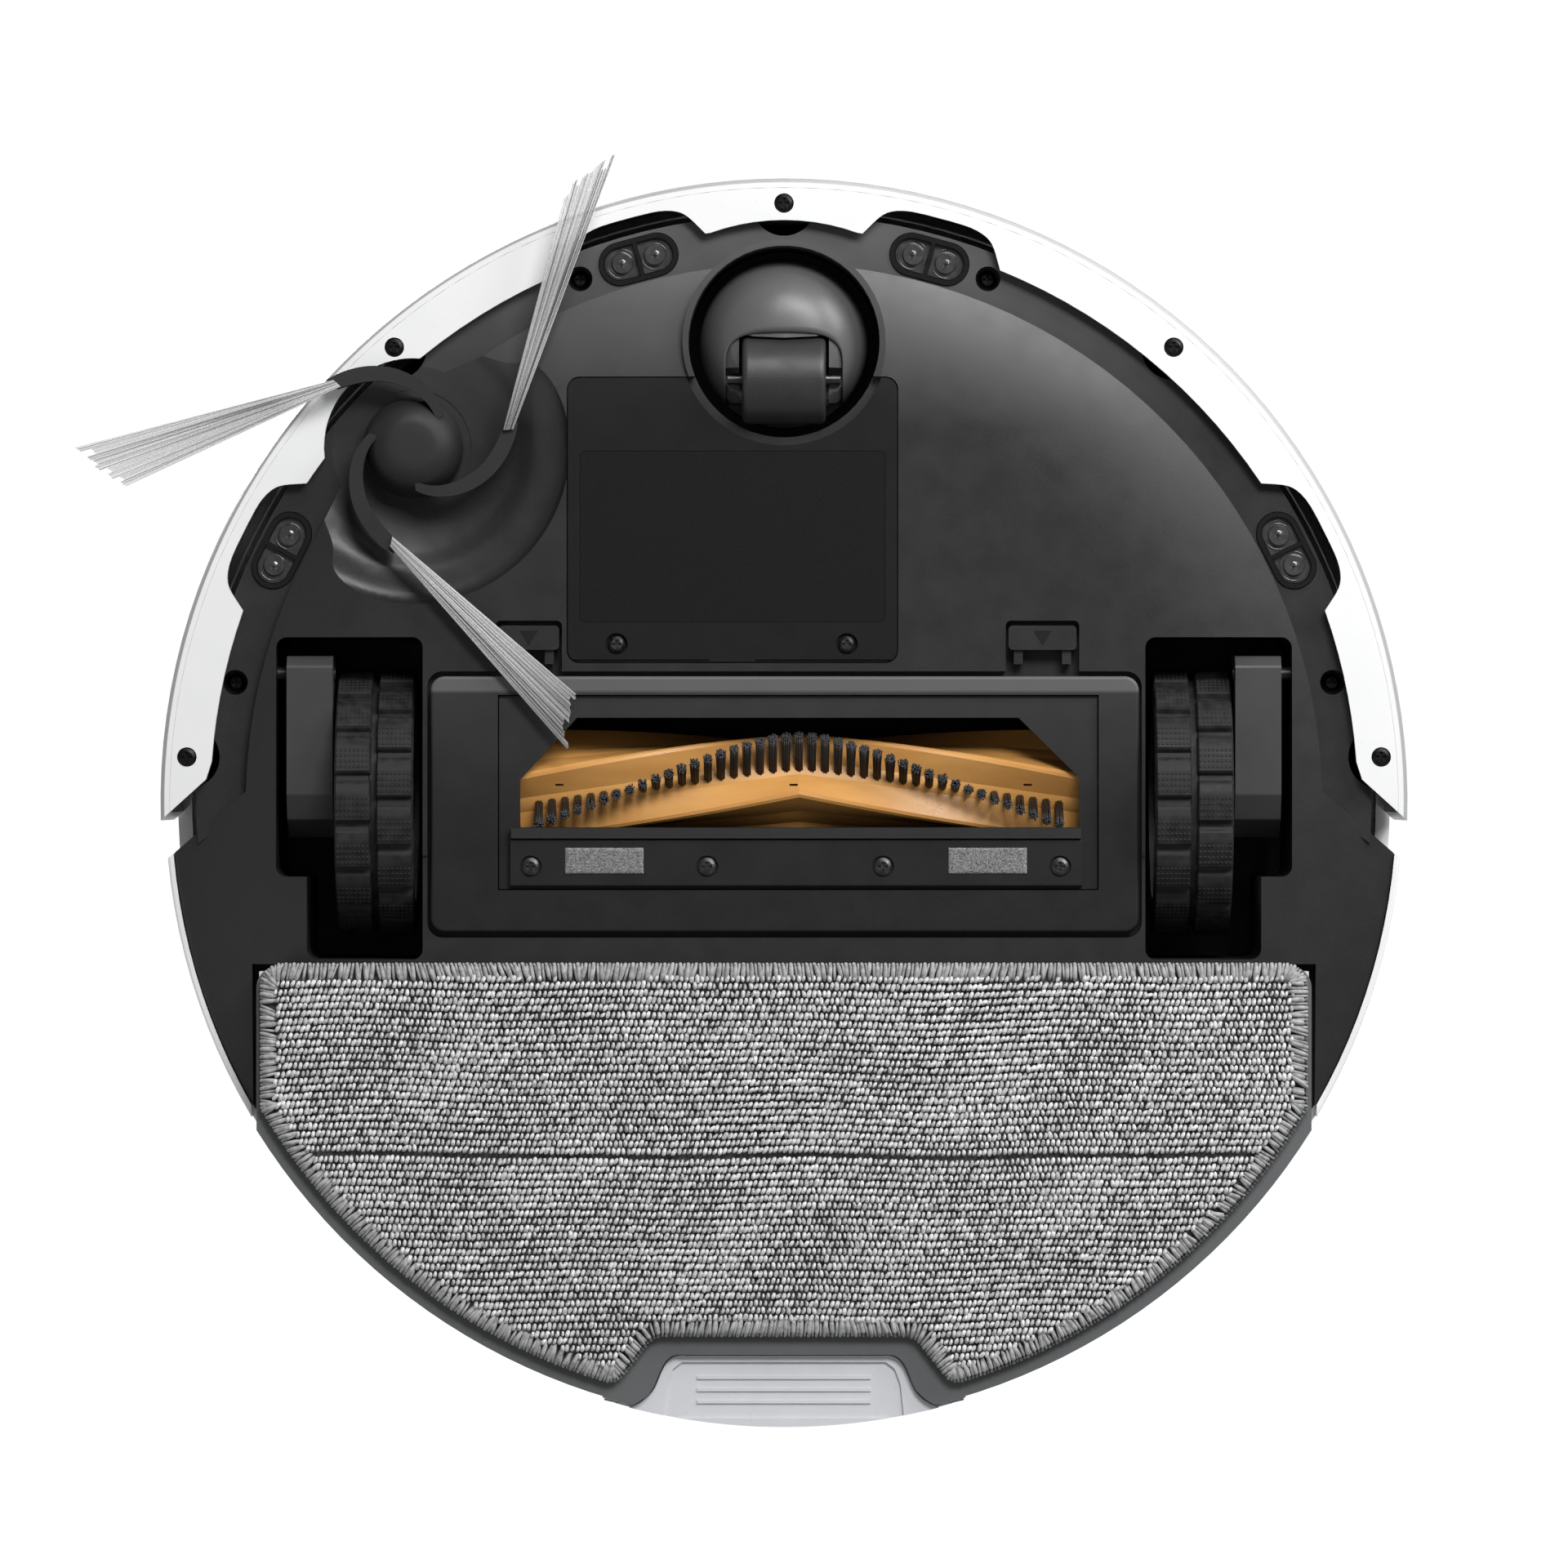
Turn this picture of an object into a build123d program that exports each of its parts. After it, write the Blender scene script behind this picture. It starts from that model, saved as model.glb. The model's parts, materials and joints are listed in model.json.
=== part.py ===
"""Round robot vacuum and mop, standing on its wheels.

Millimetres. The origin is on the floor midway between the two drive wheels, +Z is up and the
bumper faces -Y. The side brush is on the -X side. Bearings are degrees from the front, towards +X.
"""

from build123d import *
import os
from math import cos, radians, sin, sqrt

os.makedirs("parts", exist_ok=True)

# ---- Driving dimensions -------------------------------------------------------------------------
BODY_R = 175.0  # outside of the bumper
SIDE_R = 174.0  # outside of the white rear shell
TOP_Z = 80.0  # flat top, under the lidar turret
BELLY_Z = 9.0  # flat underside
BELLY_FLAT_R = 112.0  # the underside curves up outside this radius
BELLY_CURVE_R = 169.0  # radius of that curve
BELLY_FRONT_R = 151.0  # front edge of the underside, inside the shelf
TRAY_R = 172.0  # black tray behind the bumper ends
SKIN = 2.5  # wall of the tray
TRAY_TOP = 30.0
WALL_TOP = 74.5
REACH = 220.0  # larger than the body, for cutting shapes

SHELF_R = 165.0
SHELF_Z = 16.5
SHELF_TOP = 19.0

LIP_R = 161.0  # inner edge of the bumper's bottom flange
LIP_Z = 13.0
LIP_TOP = 15.5
BUMPER_WALL = 2.6
BUMPER_TOP = 74.0
BUMPER_SCREWS = (-85.7, -40.6, 0.0, 40.6, 85.7)
BUMPER_SCREW_R = 168.0

CLIFF_BEARINGS = (-63.4, -15.0, 15.0, 63.4)
CLIFF_R = 157.8
CLIFF_LENGTH, CLIFF_WIDTH = 22.5, 12.0
SHELF_SCREWS = (-77.7, -21.3, 21.3, 77.7)
SHELF_SCREW_R = 157.7

WHEEL_R, WHEEL_TREAD = 37.5, 2.4
WHEEL_IN, WHEEL_OUT = 103.8, 125.8
TREAD_BLOCKS = 17
WELL_IN, WELL_OUT, WELL_STEP = 101.2, 142.5, 133.8
WELL_TOP = 76.0
WELL_FRONT, WELL_STEP_Y, WELL_REAR = -46.2, 21.0, 44.2
ARM_PIVOT_Y, ARM_PIVOT_Z = -36.0, 22.0
ARM_IN, ARM_OUT = 126.6, 139.5

CASTER_Y = -129.0
CASTER_WELL_R = 26.8
CASTER_AXLE_Y, CASTER_WHEEL_R, CASTER_WHEEL_W = -118.5, 12.5, 23.4

SWEEP_X, SWEEP_Y = -104.1, -99.5  # side brush axis
SWEEP_SEAT_R = 16.3
# for each arm, anticlockwise from +X as seen from below: the angle of its end, then the radius and
# angle of the long and the short corner of its slanted bristle tips
SWEEP_ARMS = (
    (12.7, 101.3, 55.3, 85.0, 59.2),
    (142.5, 94.9, 180.3, 82.5, 188.4),
    (260.3, 95.9, 297.2, 83.5, 303.6),
)

COVER = (-99.3, 99.7, -35.5, 36.8)  # main brush cover, x0 x1 y0 y1
COVER_RECESS = (-99.9, 100.2, -36.6, 38.0)
COVER_HOLE = (-80.1, 88.1, -30.0, 24.7)
MOUTH = ((-73.9, 7.1), (-73.9, -6.2), (-58.0, -23.6), (65.7, -23.6), (82.6, -6.9), (82.6, 7.1))
CHAMBER = (-86.0, 94.0, -28.0, 22.0)
CHAMBER_TOP = 48.5
ROLLER_Y, ROLLER_Z = -3.9, 27.0
ROLLER_X0, ROLLER_X1 = -77.5, 86.0
ROLLER_CORE_R, ROLLER_FIN_R, BRISTLE_R = 12.0, 16.6, 20.5
ROLLER_FINS = 5
V_FRONT, V_TWIST = -30.0, 57.0  # degrees: the V's point at the roots, and its turn out to each end
TIP_FRONT, TIP_TWIST = -57.0, 104.0  # the same at the tips of the tufts, which lean
TUFTS, TUFT_PITCH = 41, 3.65
CORE_SLOTS = (-63.0, 2.7, 68.4)
SCRAPER_SCREW_X = (-70.9, -21.5, 27.7, 77.3)
FELT_X = ((-61.3, -39.3), (46.0, 68.0))

BATTERY_COVER = (-60.9, 32.0, -119.2, -38.9)
LABEL = (-57.2, 28.4, -98.4, -50.3)
BATTERY_BAY = (-56.5, 27.5, -98.0, -47.5)
BATTERY_SCREWS = ((-46.9, -44.2), (17.6, -44.2))

BAY_HALF, BAY_FRONT, BAY_TOP = 149.3, 45.5, 27.0  # room for the water tank
BOARD_HALF, BOARD_FRONT, BOARD_R = 147.5, 45.9, 173.7
CLOTH_HALF, CLOTH_FRONT, CLOTH_R = 146.4, 44.9, 169.6
BOARD_Z, BOARD_TOP = 4.2, 9.0

DUST_HALF, DUST_FRONT, DUST_R = 93.0, 52.0, 160.0
DUST_Z, DUST_TOP = 41.0, 71.0

LIDAR_Y, LIDAR_R = 30.0, 45.5
LIDAR_TOP = 96.5
BUTTON_X, BUTTON_Y, BUTTON_R = 15.0, -112.0, 7.5
FAN_X, FAN_Y = 62.0, 8.0

BOTTOM = (Align.CENTER, Align.CENTER, Align.MIN)


# ---- Helpers ------------------------------------------------------------------------------------
def at(radius, bearing):
    """Point at a radius from the turning centre, on a bearing from the front."""
    angle = radians(bearing)
    return radius * sin(angle), -radius * cos(angle)


def disc(radius, z0, z1, x=0.0, y=0.0):
    return Pos(x, y, z0) * Cylinder(radius, z1 - z0, align=BOTTOM)


def ring(inner, outer, z0, z1, x=0.0, y=0.0):
    return disc(outer, z0, z1, x, y) - disc(inner, z0, z1, x, y)


def block(x0, x1, y0, y1, z0, z1, corner=0.0):
    """Upright box between two corners, with rounded vertical edges."""
    width, depth = x1 - x0, y1 - y0
    outline = RectangleRounded(width, depth, corner) if corner else Rectangle(width, depth)
    return extrude(Pos((x0 + x1) / 2, (y0 + y1) / 2, z0) * outline, z1 - z0)


def frame_block(box, z0, z1, corner=0.0, inset=0.0):
    x0, x1, y0, y1 = box
    return block(x0 + inset, x1 - inset, y0 + inset, y1 - inset, z0, z1, corner)


def prism(points, z0, z1):
    return extrude(Pos(0, 0, z0) * make_face(Polyline(*points, close=True)), z1 - z0)


def lathe(points, x=0.0, y=0.0):
    """Solid of revolution about an upright axis, from (radius, z) points."""
    outline = Polyline(*[(r, 0, z) for r, z in points], close=True)
    return Pos(x, y, 0) * revolve(make_face(outline), Axis.Z)


def hoop(inner, outer, z0, z1, low, high):
    """Upright ring whose outer edges are eased by low at the bottom and high at the top."""
    outline = [(inner, z0), (outer - low, z0)]
    if low:
        outline += [(outer - 0.3 * low, z0 + 0.3 * low), (outer, z0 + low)]
    if high:
        outline += [(outer, z1 - high), (outer - 0.3 * high, z1 - 0.3 * high)]
    return lathe(outline + [(outer - high, z1), (inner, z1)])


def rod(radius, x0, x1, y, z):
    """Cylinder along X."""
    return Pos((x0 + x1) / 2, y, z) * Rot(0, 90, 0) * Cylinder(radius, x1 - x0)


def both(shape):
    return shape + mirror(shape, Plane.YZ)


def group(solids):
    """Separate solids that share one node."""
    return Compound(children=[s for shape in solids for s in shape.solids()])


def soften(shape, radius, picked):
    """Rounds the picked edges, and leaves the shape as it was where that isn't possible."""
    try:
        rounded = fillet(picked(shape), radius)
        return rounded if rounded.is_valid else shape
    except Exception:
        return shape


def rims(shape, z0, z1):
    """Circular edges centred between two heights."""
    return shape.edges().filter_by(GeomType.CIRCLE).filter_by(lambda e: z0 <= e.center().Z <= z1)


def cross_recess(radius, z0, z1, x, y):
    """Cutter for a cross-head screw, opening downwards."""
    half, wide = radius * 0.55, radius * 0.16
    bar = block(x - half, x + half, y - wide, y + wide, z0, z1)
    return bar + block(x - wide, x + wide, y - half, y + half, z0, z1)


def screw_up(head_r, z0, head_h, length, x, y):
    """Screw driven upwards: its domed head is at z0 and its shank above."""
    top = z0 + head_h
    profile = [(0, z0), (head_r * 0.6, z0), (head_r, z0 + head_h * 0.6), (head_r, top), (0, top)]
    head = lathe(profile, x, y)
    shank = disc(head_r * 0.45, top, top + length, x, y)
    return head + shank - cross_recess(head_r, z0 - 0.5, z0 + head_h * 0.7, x, y)


# ---- Underside surface --------------------------------------------------------------------------
def belly_z(radius):
    """Height of the underside at a radius."""
    out = max(0.0, radius - BELLY_FLAT_R)
    return BELLY_Z + BELLY_CURVE_R - sqrt(BELLY_CURVE_R**2 - out**2)


def above_belly(lift, top, outer=BODY_R):
    """Everything from the underside, raised by lift, up to top."""
    middle = (BELLY_FLAT_R + outer) / 2
    low = BELLY_Z + lift
    edges = [
        Line((0, 0, low), (BELLY_FLAT_R, 0, low)),
        ThreePointArc(
            (BELLY_FLAT_R, 0, low),
            (middle, 0, belly_z(middle) + lift),
            (outer, 0, belly_z(outer) + lift),
        ),
        Line((outer, 0, belly_z(outer) + lift), (outer, 0, top)),
        Line((outer, 0, top), (0, 0, top)),
        Line((0, 0, top), (0, 0, low)),
    ]
    return revolve(make_face(edges), Axis.Z)


def rear_half(inset, z0, z1):
    """Region behind the slanted line where the bumper ends."""
    slope = [(151.0 - inset, -3.0 + inset), (171.9, 14.7 + inset), (REACH, 55.3 + inset)]
    points = slope + [(REACH, REACH), (-REACH, REACH)] + [(-x, y) for x, y in reversed(slope)]
    return prism(points, z0, z1)


def front_plan(inset, z0, z1):
    """Front part of the underside, bulging out round the side brush."""
    plan = disc(BELLY_FRONT_R - inset, z0, z1)
    bulge = [(-84.0, -125.4), (-101.0, -118.4), (SWEEP_X, SWEEP_Y), (-122.4, -93.0), (-130.6, -75.8)]
    plan += prism(bulge + [(0, 0)], z0, z1)
    return plan + disc(19.6 - inset, z0, z1, SWEEP_X, SWEEP_Y)


def rear_plan(inset, z0, z1):
    return disc(TRAY_R - inset, z0, z1) & rear_half(inset, z0, z1)


def end_walls(z0, z1, inner):
    """Slanted walls behind the two ends of the bumper."""
    strip = rear_half(0, z0, z1) - rear_half(SKIN, z0, z1)
    return strip & ring(inner, TRAY_R, z0, z1)


def well_plan(z0, z1, grow=0.0):
    """Left and right drive wheel openings."""
    wide = block(WELL_IN - grow, WELL_OUT + grow, WELL_FRONT - grow, WELL_STEP_Y + grow, z0, z1, 3.0)
    long = block(WELL_IN - grow, WELL_STEP + grow, WELL_FRONT - grow, WELL_REAR + grow, z0, z1, 3.0)
    return both(wide + long)


# ---- Chassis ------------------------------------------------------------------------------------
def side_brush_dish():
    """Stepped round dish that lets the side brush arms turn clear of the underside."""
    steps = [(17.5, 16.8), (25.5, 16.1), (30.0, 14.8), (34.2, 12.7), (37.6, 12.1), (41.9, 11.3), (44.4, 8.2)]
    face = make_face(
        [
            Line((0, 0, 17.0), (17.5, 0, 16.8)),
            Spline(*[(r, 0, z) for r, z in steps]),
            Line((44.4, 0, 8.2), (44.4, 0, 4.0)),
            Line((44.4, 0, 4.0), (0, 0, 4.0)),
            Line((0, 0, 4.0), (0, 0, 17.0)),
        ]
    )
    return Pos(SWEEP_X, SWEEP_Y, 0) * revolve(face, Axis.Z)


def latch_pockets(z0, z1):
    left = block(-80.8, -62.2, -50.8, -35.0, z0, z1, 1.5)
    right = block(62.1, 82.7, -50.8, -35.0, z0, z1, 1.5)
    return left + right


def shelf_plate():
    """Ledge above the bumper's flange, with the cliff sensors and screws in it."""
    shelf = ring(BELLY_FRONT_R - SKIN, SHELF_R, SHELF_Z, SHELF_TOP)
    shelf -= rear_half(SKIN, SHELF_Z, SHELF_TOP)
    for bearing in SHELF_SCREWS:
        x, y = at(SHELF_SCREW_R, bearing)
        shelf += disc(4.6, SHELF_Z, SHELF_TOP + 6, x, y)
        shelf -= disc(3.5, SHELF_Z, SHELF_TOP + 4, x, y)
        shelf -= disc(1.5, SHELF_Z, SHELF_TOP + 6, x, y)
    for bearing in CLIFF_BEARINGS:
        x, y = at(CLIFF_R, bearing)
        slot = extrude(SlotOverall(CLIFF_LENGTH + 0.4, CLIFF_WIDTH + 0.4), SHELF_TOP - SHELF_Z)
        shelf -= Pos(x, y, SHELF_Z) * Rot(0, 0, bearing) * slot
    for bearing in BUMPER_SCREWS:
        x, y = at(BUMPER_SCREW_R, bearing)
        shelf -= disc(9.0, SHELF_Z, SHELF_TOP, x, y)
    return shelf


def tray_skin():
    """Thin underside with its upturned edges."""
    front = above_belly(0, SHELF_TOP) & front_plan(0, 0, SHELF_TOP)
    front -= above_belly(SKIN, 60) & front_plan(SKIN, 0, 60)
    rear = above_belly(0, TRAY_TOP) & rear_plan(0, 0, TRAY_TOP)
    rear -= above_belly(SKIN, 60) & disc(TRAY_R - SKIN, 0, 60)
    front -= rear_half(0, 0, 60)
    return front + rear + (above_belly(0, 60) & end_walls(0, TRAY_TOP, BELLY_FRONT_R - SKIN))


def pocket_walls():
    """Walls round everything that is let into the underside."""
    walls = well_plan(BELLY_Z + 0.6, WELL_TOP + 1.2, 1.4)
    walls += frame_block(COVER_RECESS, BELLY_Z, 15.0, 5.0, -1.5)
    walls += frame_block(BATTERY_COVER, BELLY_Z + 2, 15.0, 4.0, -3.0)
    walls += frame_block(BATTERY_BAY, 12.0, 42.0, 2.0, -1.6)
    walls += latch_frame()
    bay = block(-BAY_HALF - 2, BAY_HALF + 2, BAY_FRONT - 2, REACH, BELLY_Z + 0.2, BAY_TOP + 2.5)
    walls += bay & disc(TRAY_R, 0, 40)
    walls += disc(48.0, BELLY_Z, SHELF_TOP, SWEEP_X, SWEEP_Y) & front_plan(0, 0, SHELF_TOP)
    return walls & above_belly(0, 80)


def chassis_base():
    """Black tray: underside, shelf and the pockets for everything that mounts from below."""
    body = tray_skin() + shelf_plate() + pocket_walls()
    body += disc(CASTER_WELL_R + 1.7, 7.9, 46.0, 0, CASTER_Y)
    body += both(block(WELL_IN - 1.3, WELL_IN, -21.5, 15.0, 8.2, 12.0))

    body -= block(-BAY_HALF, BAY_HALF, BAY_FRONT, REACH, 0, BAY_TOP)
    body -= well_plan(0, WELL_TOP)
    body -= frame_block(COVER_RECESS, 0, 12.6, 4.3)
    body -= frame_block(CHAMBER, 0, 16.0)
    body -= frame_block(BATTERY_COVER, 0, 11.7, 3.6)
    body -= frame_block(BATTERY_BAY, 0, 40.0, 1.5)
    for x, y in BATTERY_SCREWS:
        body -= disc(1.3, 11, 14.8, x, y)
    body -= disc(CASTER_WELL_R, 0, 44.0, 0, CASTER_Y)
    body -= disc(2.4, 40, 47, 0, CASTER_Y)
    body -= side_brush_dish()
    body -= disc(SWEEP_SEAT_R, 10, 17.0, SWEEP_X, SWEEP_Y)
    body -= disc(2.5, 10, 30, SWEEP_X, SWEEP_Y)
    body -= latch_pockets(0, 13.5)
    body += both(rod(2.0, ARM_IN - 0.4, WELL_OUT + 0.6, ARM_PIVOT_Y, ARM_PIVOT_Z))
    return max(body.solids(), key=lambda s: s.volume)


def brush_chamber():
    """Housing over the main brush, standing on the tray round its opening."""
    x0, x1, y0, y1 = CHAMBER
    shell = frame_block(CHAMBER, 15.0, CHAMBER_TOP + 2, 2.0, -2.0)
    shell += block(x0 + 2, x1 - 2, y0 - 5, y1 + 5, 15.0, 17.0, 1.0)
    shell -= frame_block(CHAMBER, 14.0, CHAMBER_TOP)
    shell -= block(-30, 30, 15, 30, 33, 45)
    shell -= rod(4.2, ROLLER_X0 - 12, ROLLER_X0 - 7, ROLLER_Y, ROLLER_Z)
    return shell - rod(2.4, ROLLER_X1 + 6, ROLLER_X1 + 12, ROLLER_Y, ROLLER_Z)


def latch_frame():
    left = block(-82.4, -60.6, -52.4, -34.0, BELLY_Z, 15.5, 2.0)
    right = block(60.5, 84.3, -52.4, -34.0, BELLY_Z, 15.5, 2.0)
    return left + right


def mid_frame():
    """Tall inner wall between the tray and the top cover."""
    step, low, high = SHELF_TOP + 0.3, TRAY_TOP + 0.3, WALL_TOP
    wall = ring(SHELF_R - SKIN, SHELF_R, step, low) - rear_half(-0.3, step, low)
    wall += ring(SHELF_R - SKIN, SHELF_R, low, high) - rear_half(SKIN, low, high)
    wall += end_walls(low, high, SHELF_R - SKIN)
    wall += ring(TRAY_R - SKIN, TRAY_R, low, high) & rear_half(0, low, high)
    return wall - block(-DUST_HALF - 0.6, DUST_HALF + 0.6, 100, REACH, 0, high)


def rear_shell():
    """White skin round the sides and back, open for the dust box and the water tank."""
    low, high = 19.0, WALL_TOP
    shell = hoop(TRAY_R + 0.3, SIDE_R, low, high, 0.6, 0) & rear_half(0.0, low, high)
    shell -= block(-BAY_HALF - 0.5, BAY_HALF + 0.5, BAY_FRONT, REACH, 0, BAY_TOP)
    return shell - block(-DUST_HALF - 0.4, DUST_HALF + 0.4, 100, REACH, 39.8, high)


def rear_beam():
    """Fixed crossbar between the water tank and the dust box. It carries the charging contacts."""
    beam = ring(163.0, TRAY_R, BAY_TOP + 3.3, 39.6) & block(-92, 92, 100, REACH, 0, 60)
    nose = ring(174.3, 175.3, BAY_TOP + 3.3, 39.0) & block(-54, 54, 100, REACH, 0, 60)
    for bearing in (180 - 13.4, 180 + 13.4):
        nose -= contact_plate(bearing, 0.15)
    return group([beam, nose])


def contact_plate(bearing, grow=0.0):
    """Charging contact: a flat strip set into the rear face."""
    x, y = at(175.3, bearing)
    size = Box(20.6 + 2 * grow, 1.8 + 2 * grow, 6.4 + 2 * grow)
    return Pos(x, y, 34.5) * Rot(0, 0, bearing) * size


def charging_contacts():
    return group([contact_plate(180 - 13.4), contact_plate(180 + 13.4)])


def suction_duct():
    """Elbow from the brush chamber up to the dust box inlet."""
    outer = block(-33, 33, 24.4, 51.4, 31, 62, 1.0)
    inner = block(-31, 31, 26.4, 49.4, 33, 60)
    return outer - inner - block(-30, 30, 20, 30, 33.2, 44.8) - block(-28, 28, 45, 55, 48, 60)


def battery_cover():
    lid = frame_block(BATTERY_COVER, 0, 11.4, 3.4, 0.35) & above_belly(0, 20)
    lid -= disc(CASTER_WELL_R + 2.3, 0, 20, 0, CASTER_Y)
    lid -= frame_block(LABEL, 0, BELLY_Z + 0.5, 1.6)
    for x, y in BATTERY_SCREWS:
        lid -= disc(3.1, 0, BELLY_Z + 1.5, x, y)
        lid -= disc(1.35, 0, 14, x, y)
    # two grooves leave a tongue at the rear edge
    for x0, x1 in ((-59.5, -21.0), (-8.0, 30.5)):
        lid -= block(x0, x1, -39.9, -39.5, 0, BELLY_Z + 0.5)
    return lid


def rating_label():
    return frame_block(LABEL, BELLY_Z + 0.15, BELLY_Z + 0.5, 1.5, 0.1)


def battery_screws():
    return group([screw_up(2.4, BELLY_Z + 0.3, 1.2, 4.0, x, y) for x, y in BATTERY_SCREWS])


def battery_pack():
    """Wrapped pack of two rows of cells, lying in the bay."""
    x0, x1, y0, y1 = BATTERY_BAY
    pitch = (y1 - y0 - 2) / 2
    pack = block(x0 + 1, x1 - 1, y0 + 1 + pitch / 2, y1 - 1 - pitch / 2, 12.3, 12.3 + pitch)
    for i in range(2):
        pack += rod(pitch / 2, x0 + 1, x1 - 1, y0 + 1 + pitch * (i + 0.5), 12.3 + pitch / 2)
    return pack


def shelf_screws():
    points = [at(SHELF_SCREW_R, b) for b in SHELF_SCREWS]
    return group([screw_up(2.6, SHELF_TOP + 1.6, 1.6, 0.6, x, y) for x, y in points])


def cliff_sensor(bearing, window):
    x, y = at(CLIFF_R, bearing)
    if window:
        shape = Pos(0, 0, 1.2) * extrude(SlotOverall(CLIFF_LENGTH - 3.2, CLIFF_WIDTH - 3.2), 0.8)
        for side in (-1, 1):
            shape += Pos(side * 4.7, 0, 1.6) * (Sphere(3.1) & Pos(0, 0, -1.2) * Box(8, 8, 2.6))
        shape -= Pos(0, 0, 0) * Box(1.2, 20, 8.0)
        shape &= Pos(0, 0, 1.1) * Box(40, 40, 1.9)
        z = SHELF_Z - 0.4
    else:
        shape = extrude(SlotOverall(CLIFF_LENGTH, CLIFF_WIDTH), 3.2)
        shape -= extrude(SlotOverall(CLIFF_LENGTH - 2.6, CLIFF_WIDTH - 2.6), 2.4)
        shape += Pos(0, 0, 1.5) * Box(1.0, CLIFF_WIDTH - 2.0, 3.0)
        z = SHELF_Z - 0.6
    return Pos(x, y, z) * Rot(0, 0, bearing) * shape


def cliff_sensors(window):
    return group([cliff_sensor(b, window) for b in CLIFF_BEARINGS])


# ---- Bumper -------------------------------------------------------------------------------------
def bumper_span(z0, z1, inset=0.0):
    """Region in front of the slanted line at the bumper's ends."""
    slope = [(150.0, -18.0), (160.2, -12.5), (162.2, -6.3), (177.0, 7.1)]
    points = slope + [(REACH, 7.1), (REACH, -REACH), (-REACH, -REACH), (-REACH, 7.1)]
    points += [(-x, y) for x, y in reversed(slope)]
    points = [(x, y - inset) for x, y in points]
    return prism(points, z0, z1)


def sensor_pocket(bearing, half_angle):
    """Bite out of the bumper flange in front of a cliff sensor."""
    steps = [(-4.0, 1.25), (0.0, 1.08), (3.0, 0.96), (6.4, 0.8), (8.2, 0.55), (8.5, 0.2)]
    outline = [at(LIP_R + r, bearing - half_angle * share) for r, share in steps]
    outline += [at(LIP_R + r, bearing + half_angle * share) for r, share in reversed(steps)]
    face = make_face([Spline(*outline), Line(outline[-1], outline[0])])
    return extrude(Pos(0, 0, LIP_Z - 1) * face, LIP_TOP - LIP_Z + 2)


def bumper_flange():
    """Flat ring under the bumper, screwed to its shell."""
    flange = ring(LIP_R, BODY_R - BUMPER_WALL - 0.05, LIP_Z, LIP_TOP) & bumper_span(LIP_Z, LIP_TOP)
    for bearing in CLIFF_BEARINGS:
        flange -= sensor_pocket(bearing, 6.6)
    flange -= disc(60.7, 0, 30, 0, -102.6)
    flange -= disc(25.0, 0, 30, SWEEP_X, SWEEP_Y)
    for bearing in BUMPER_SCREWS:
        x, y = at(BUMPER_SCREW_R, bearing)
        flange += disc(3.6, LIP_Z, 18.0, x, y)
        flange -= disc(2.75, 0, LIP_Z + 0.9, x, y)
        flange -= disc(1.3, 0, 19, x, y)
    return max(flange.solids(), key=lambda s: s.volume)


def bumper_shell():
    """White outer skin, with an inward rib along its top and a slot for the infrared window."""
    skin = hoop(BODY_R - BUMPER_WALL, BODY_R, LIP_Z, BUMPER_TOP, 1.1, 1.1)
    skin += ring(BODY_R - 4.6, BODY_R - 2, BUMPER_TOP - 2.4, BUMPER_TOP)
    skin &= bumper_span(LIP_Z, BUMPER_TOP)
    window = ring(BODY_R - 1.3, BODY_R + 1, 38.0, 56.0) & prism([(0, 0), (-86, -180), (86, -180)], 30, 60)
    return skin - window


def infrared_window():
    arc = ring(BODY_R - 1.25, BODY_R - 0.1, 38.2, 55.8)
    return arc & prism([(0, 0), (-85.5, -180), (85.5, -180)], 30, 60)


def bumper_screws():
    points = [at(BUMPER_SCREW_R, b) for b in BUMPER_SCREWS]
    return group([screw_up(2.7, LIP_Z - 0.2, 1.0, 3.4, x, y) for x, y in points])


# ---- Drive wheels -------------------------------------------------------------------------------
def along_x(outline, x0, x1):
    """Extrudes a (y, z) outline along X."""
    face = make_face(Polyline(*[(x0, y, z) for y, z in outline], close=True))
    return extrude(face, x1 - x0, dir=(1, 0, 0))


def wheel_arm():
    """Swinging gearbox case on the outer side of the wheel."""
    low = [(-41.0, 15.0), (-38.0, 12.3), (-2.0, 12.3), (5.0, 16.0), (10.0, 26.0)]
    outline = low + [(10.0, 54.0), (4.0, 60.0), (-36.0, 60.0), (-41.0, 54.0)]
    case = along_x(outline, ARM_IN, ARM_OUT)
    case = soften(case, 1.4, lambda s: s.edges().filter_by(Axis.X))
    case -= rod(2.1, ARM_IN - 1, ARM_OUT - 2.0, 0, WHEEL_R)
    return case - rod(2.4, ARM_IN - 1, ARM_OUT + 1, ARM_PIVOT_Y, ARM_PIVOT_Z)


def wheel_hub():
    """Wheel centre with its stub axle."""
    rim = rod(WHEEL_R - 7.0, WHEEL_IN + 0.6, WHEEL_OUT - 0.6, 0, WHEEL_R)
    rim -= rod(WHEEL_R - 9.5, WHEEL_IN, WHEEL_IN + 7.0, 0, WHEEL_R)
    rim -= rod(WHEEL_R - 9.5, WHEEL_OUT - 7.0, WHEEL_OUT, 0, WHEEL_R)
    rim += rod(5.0, WHEEL_IN + 1.0, WHEEL_OUT + 0.3, 0, WHEEL_R)
    return rim + rod(1.7, WHEEL_OUT, ARM_OUT - 2.6, 0, WHEEL_R)


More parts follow.
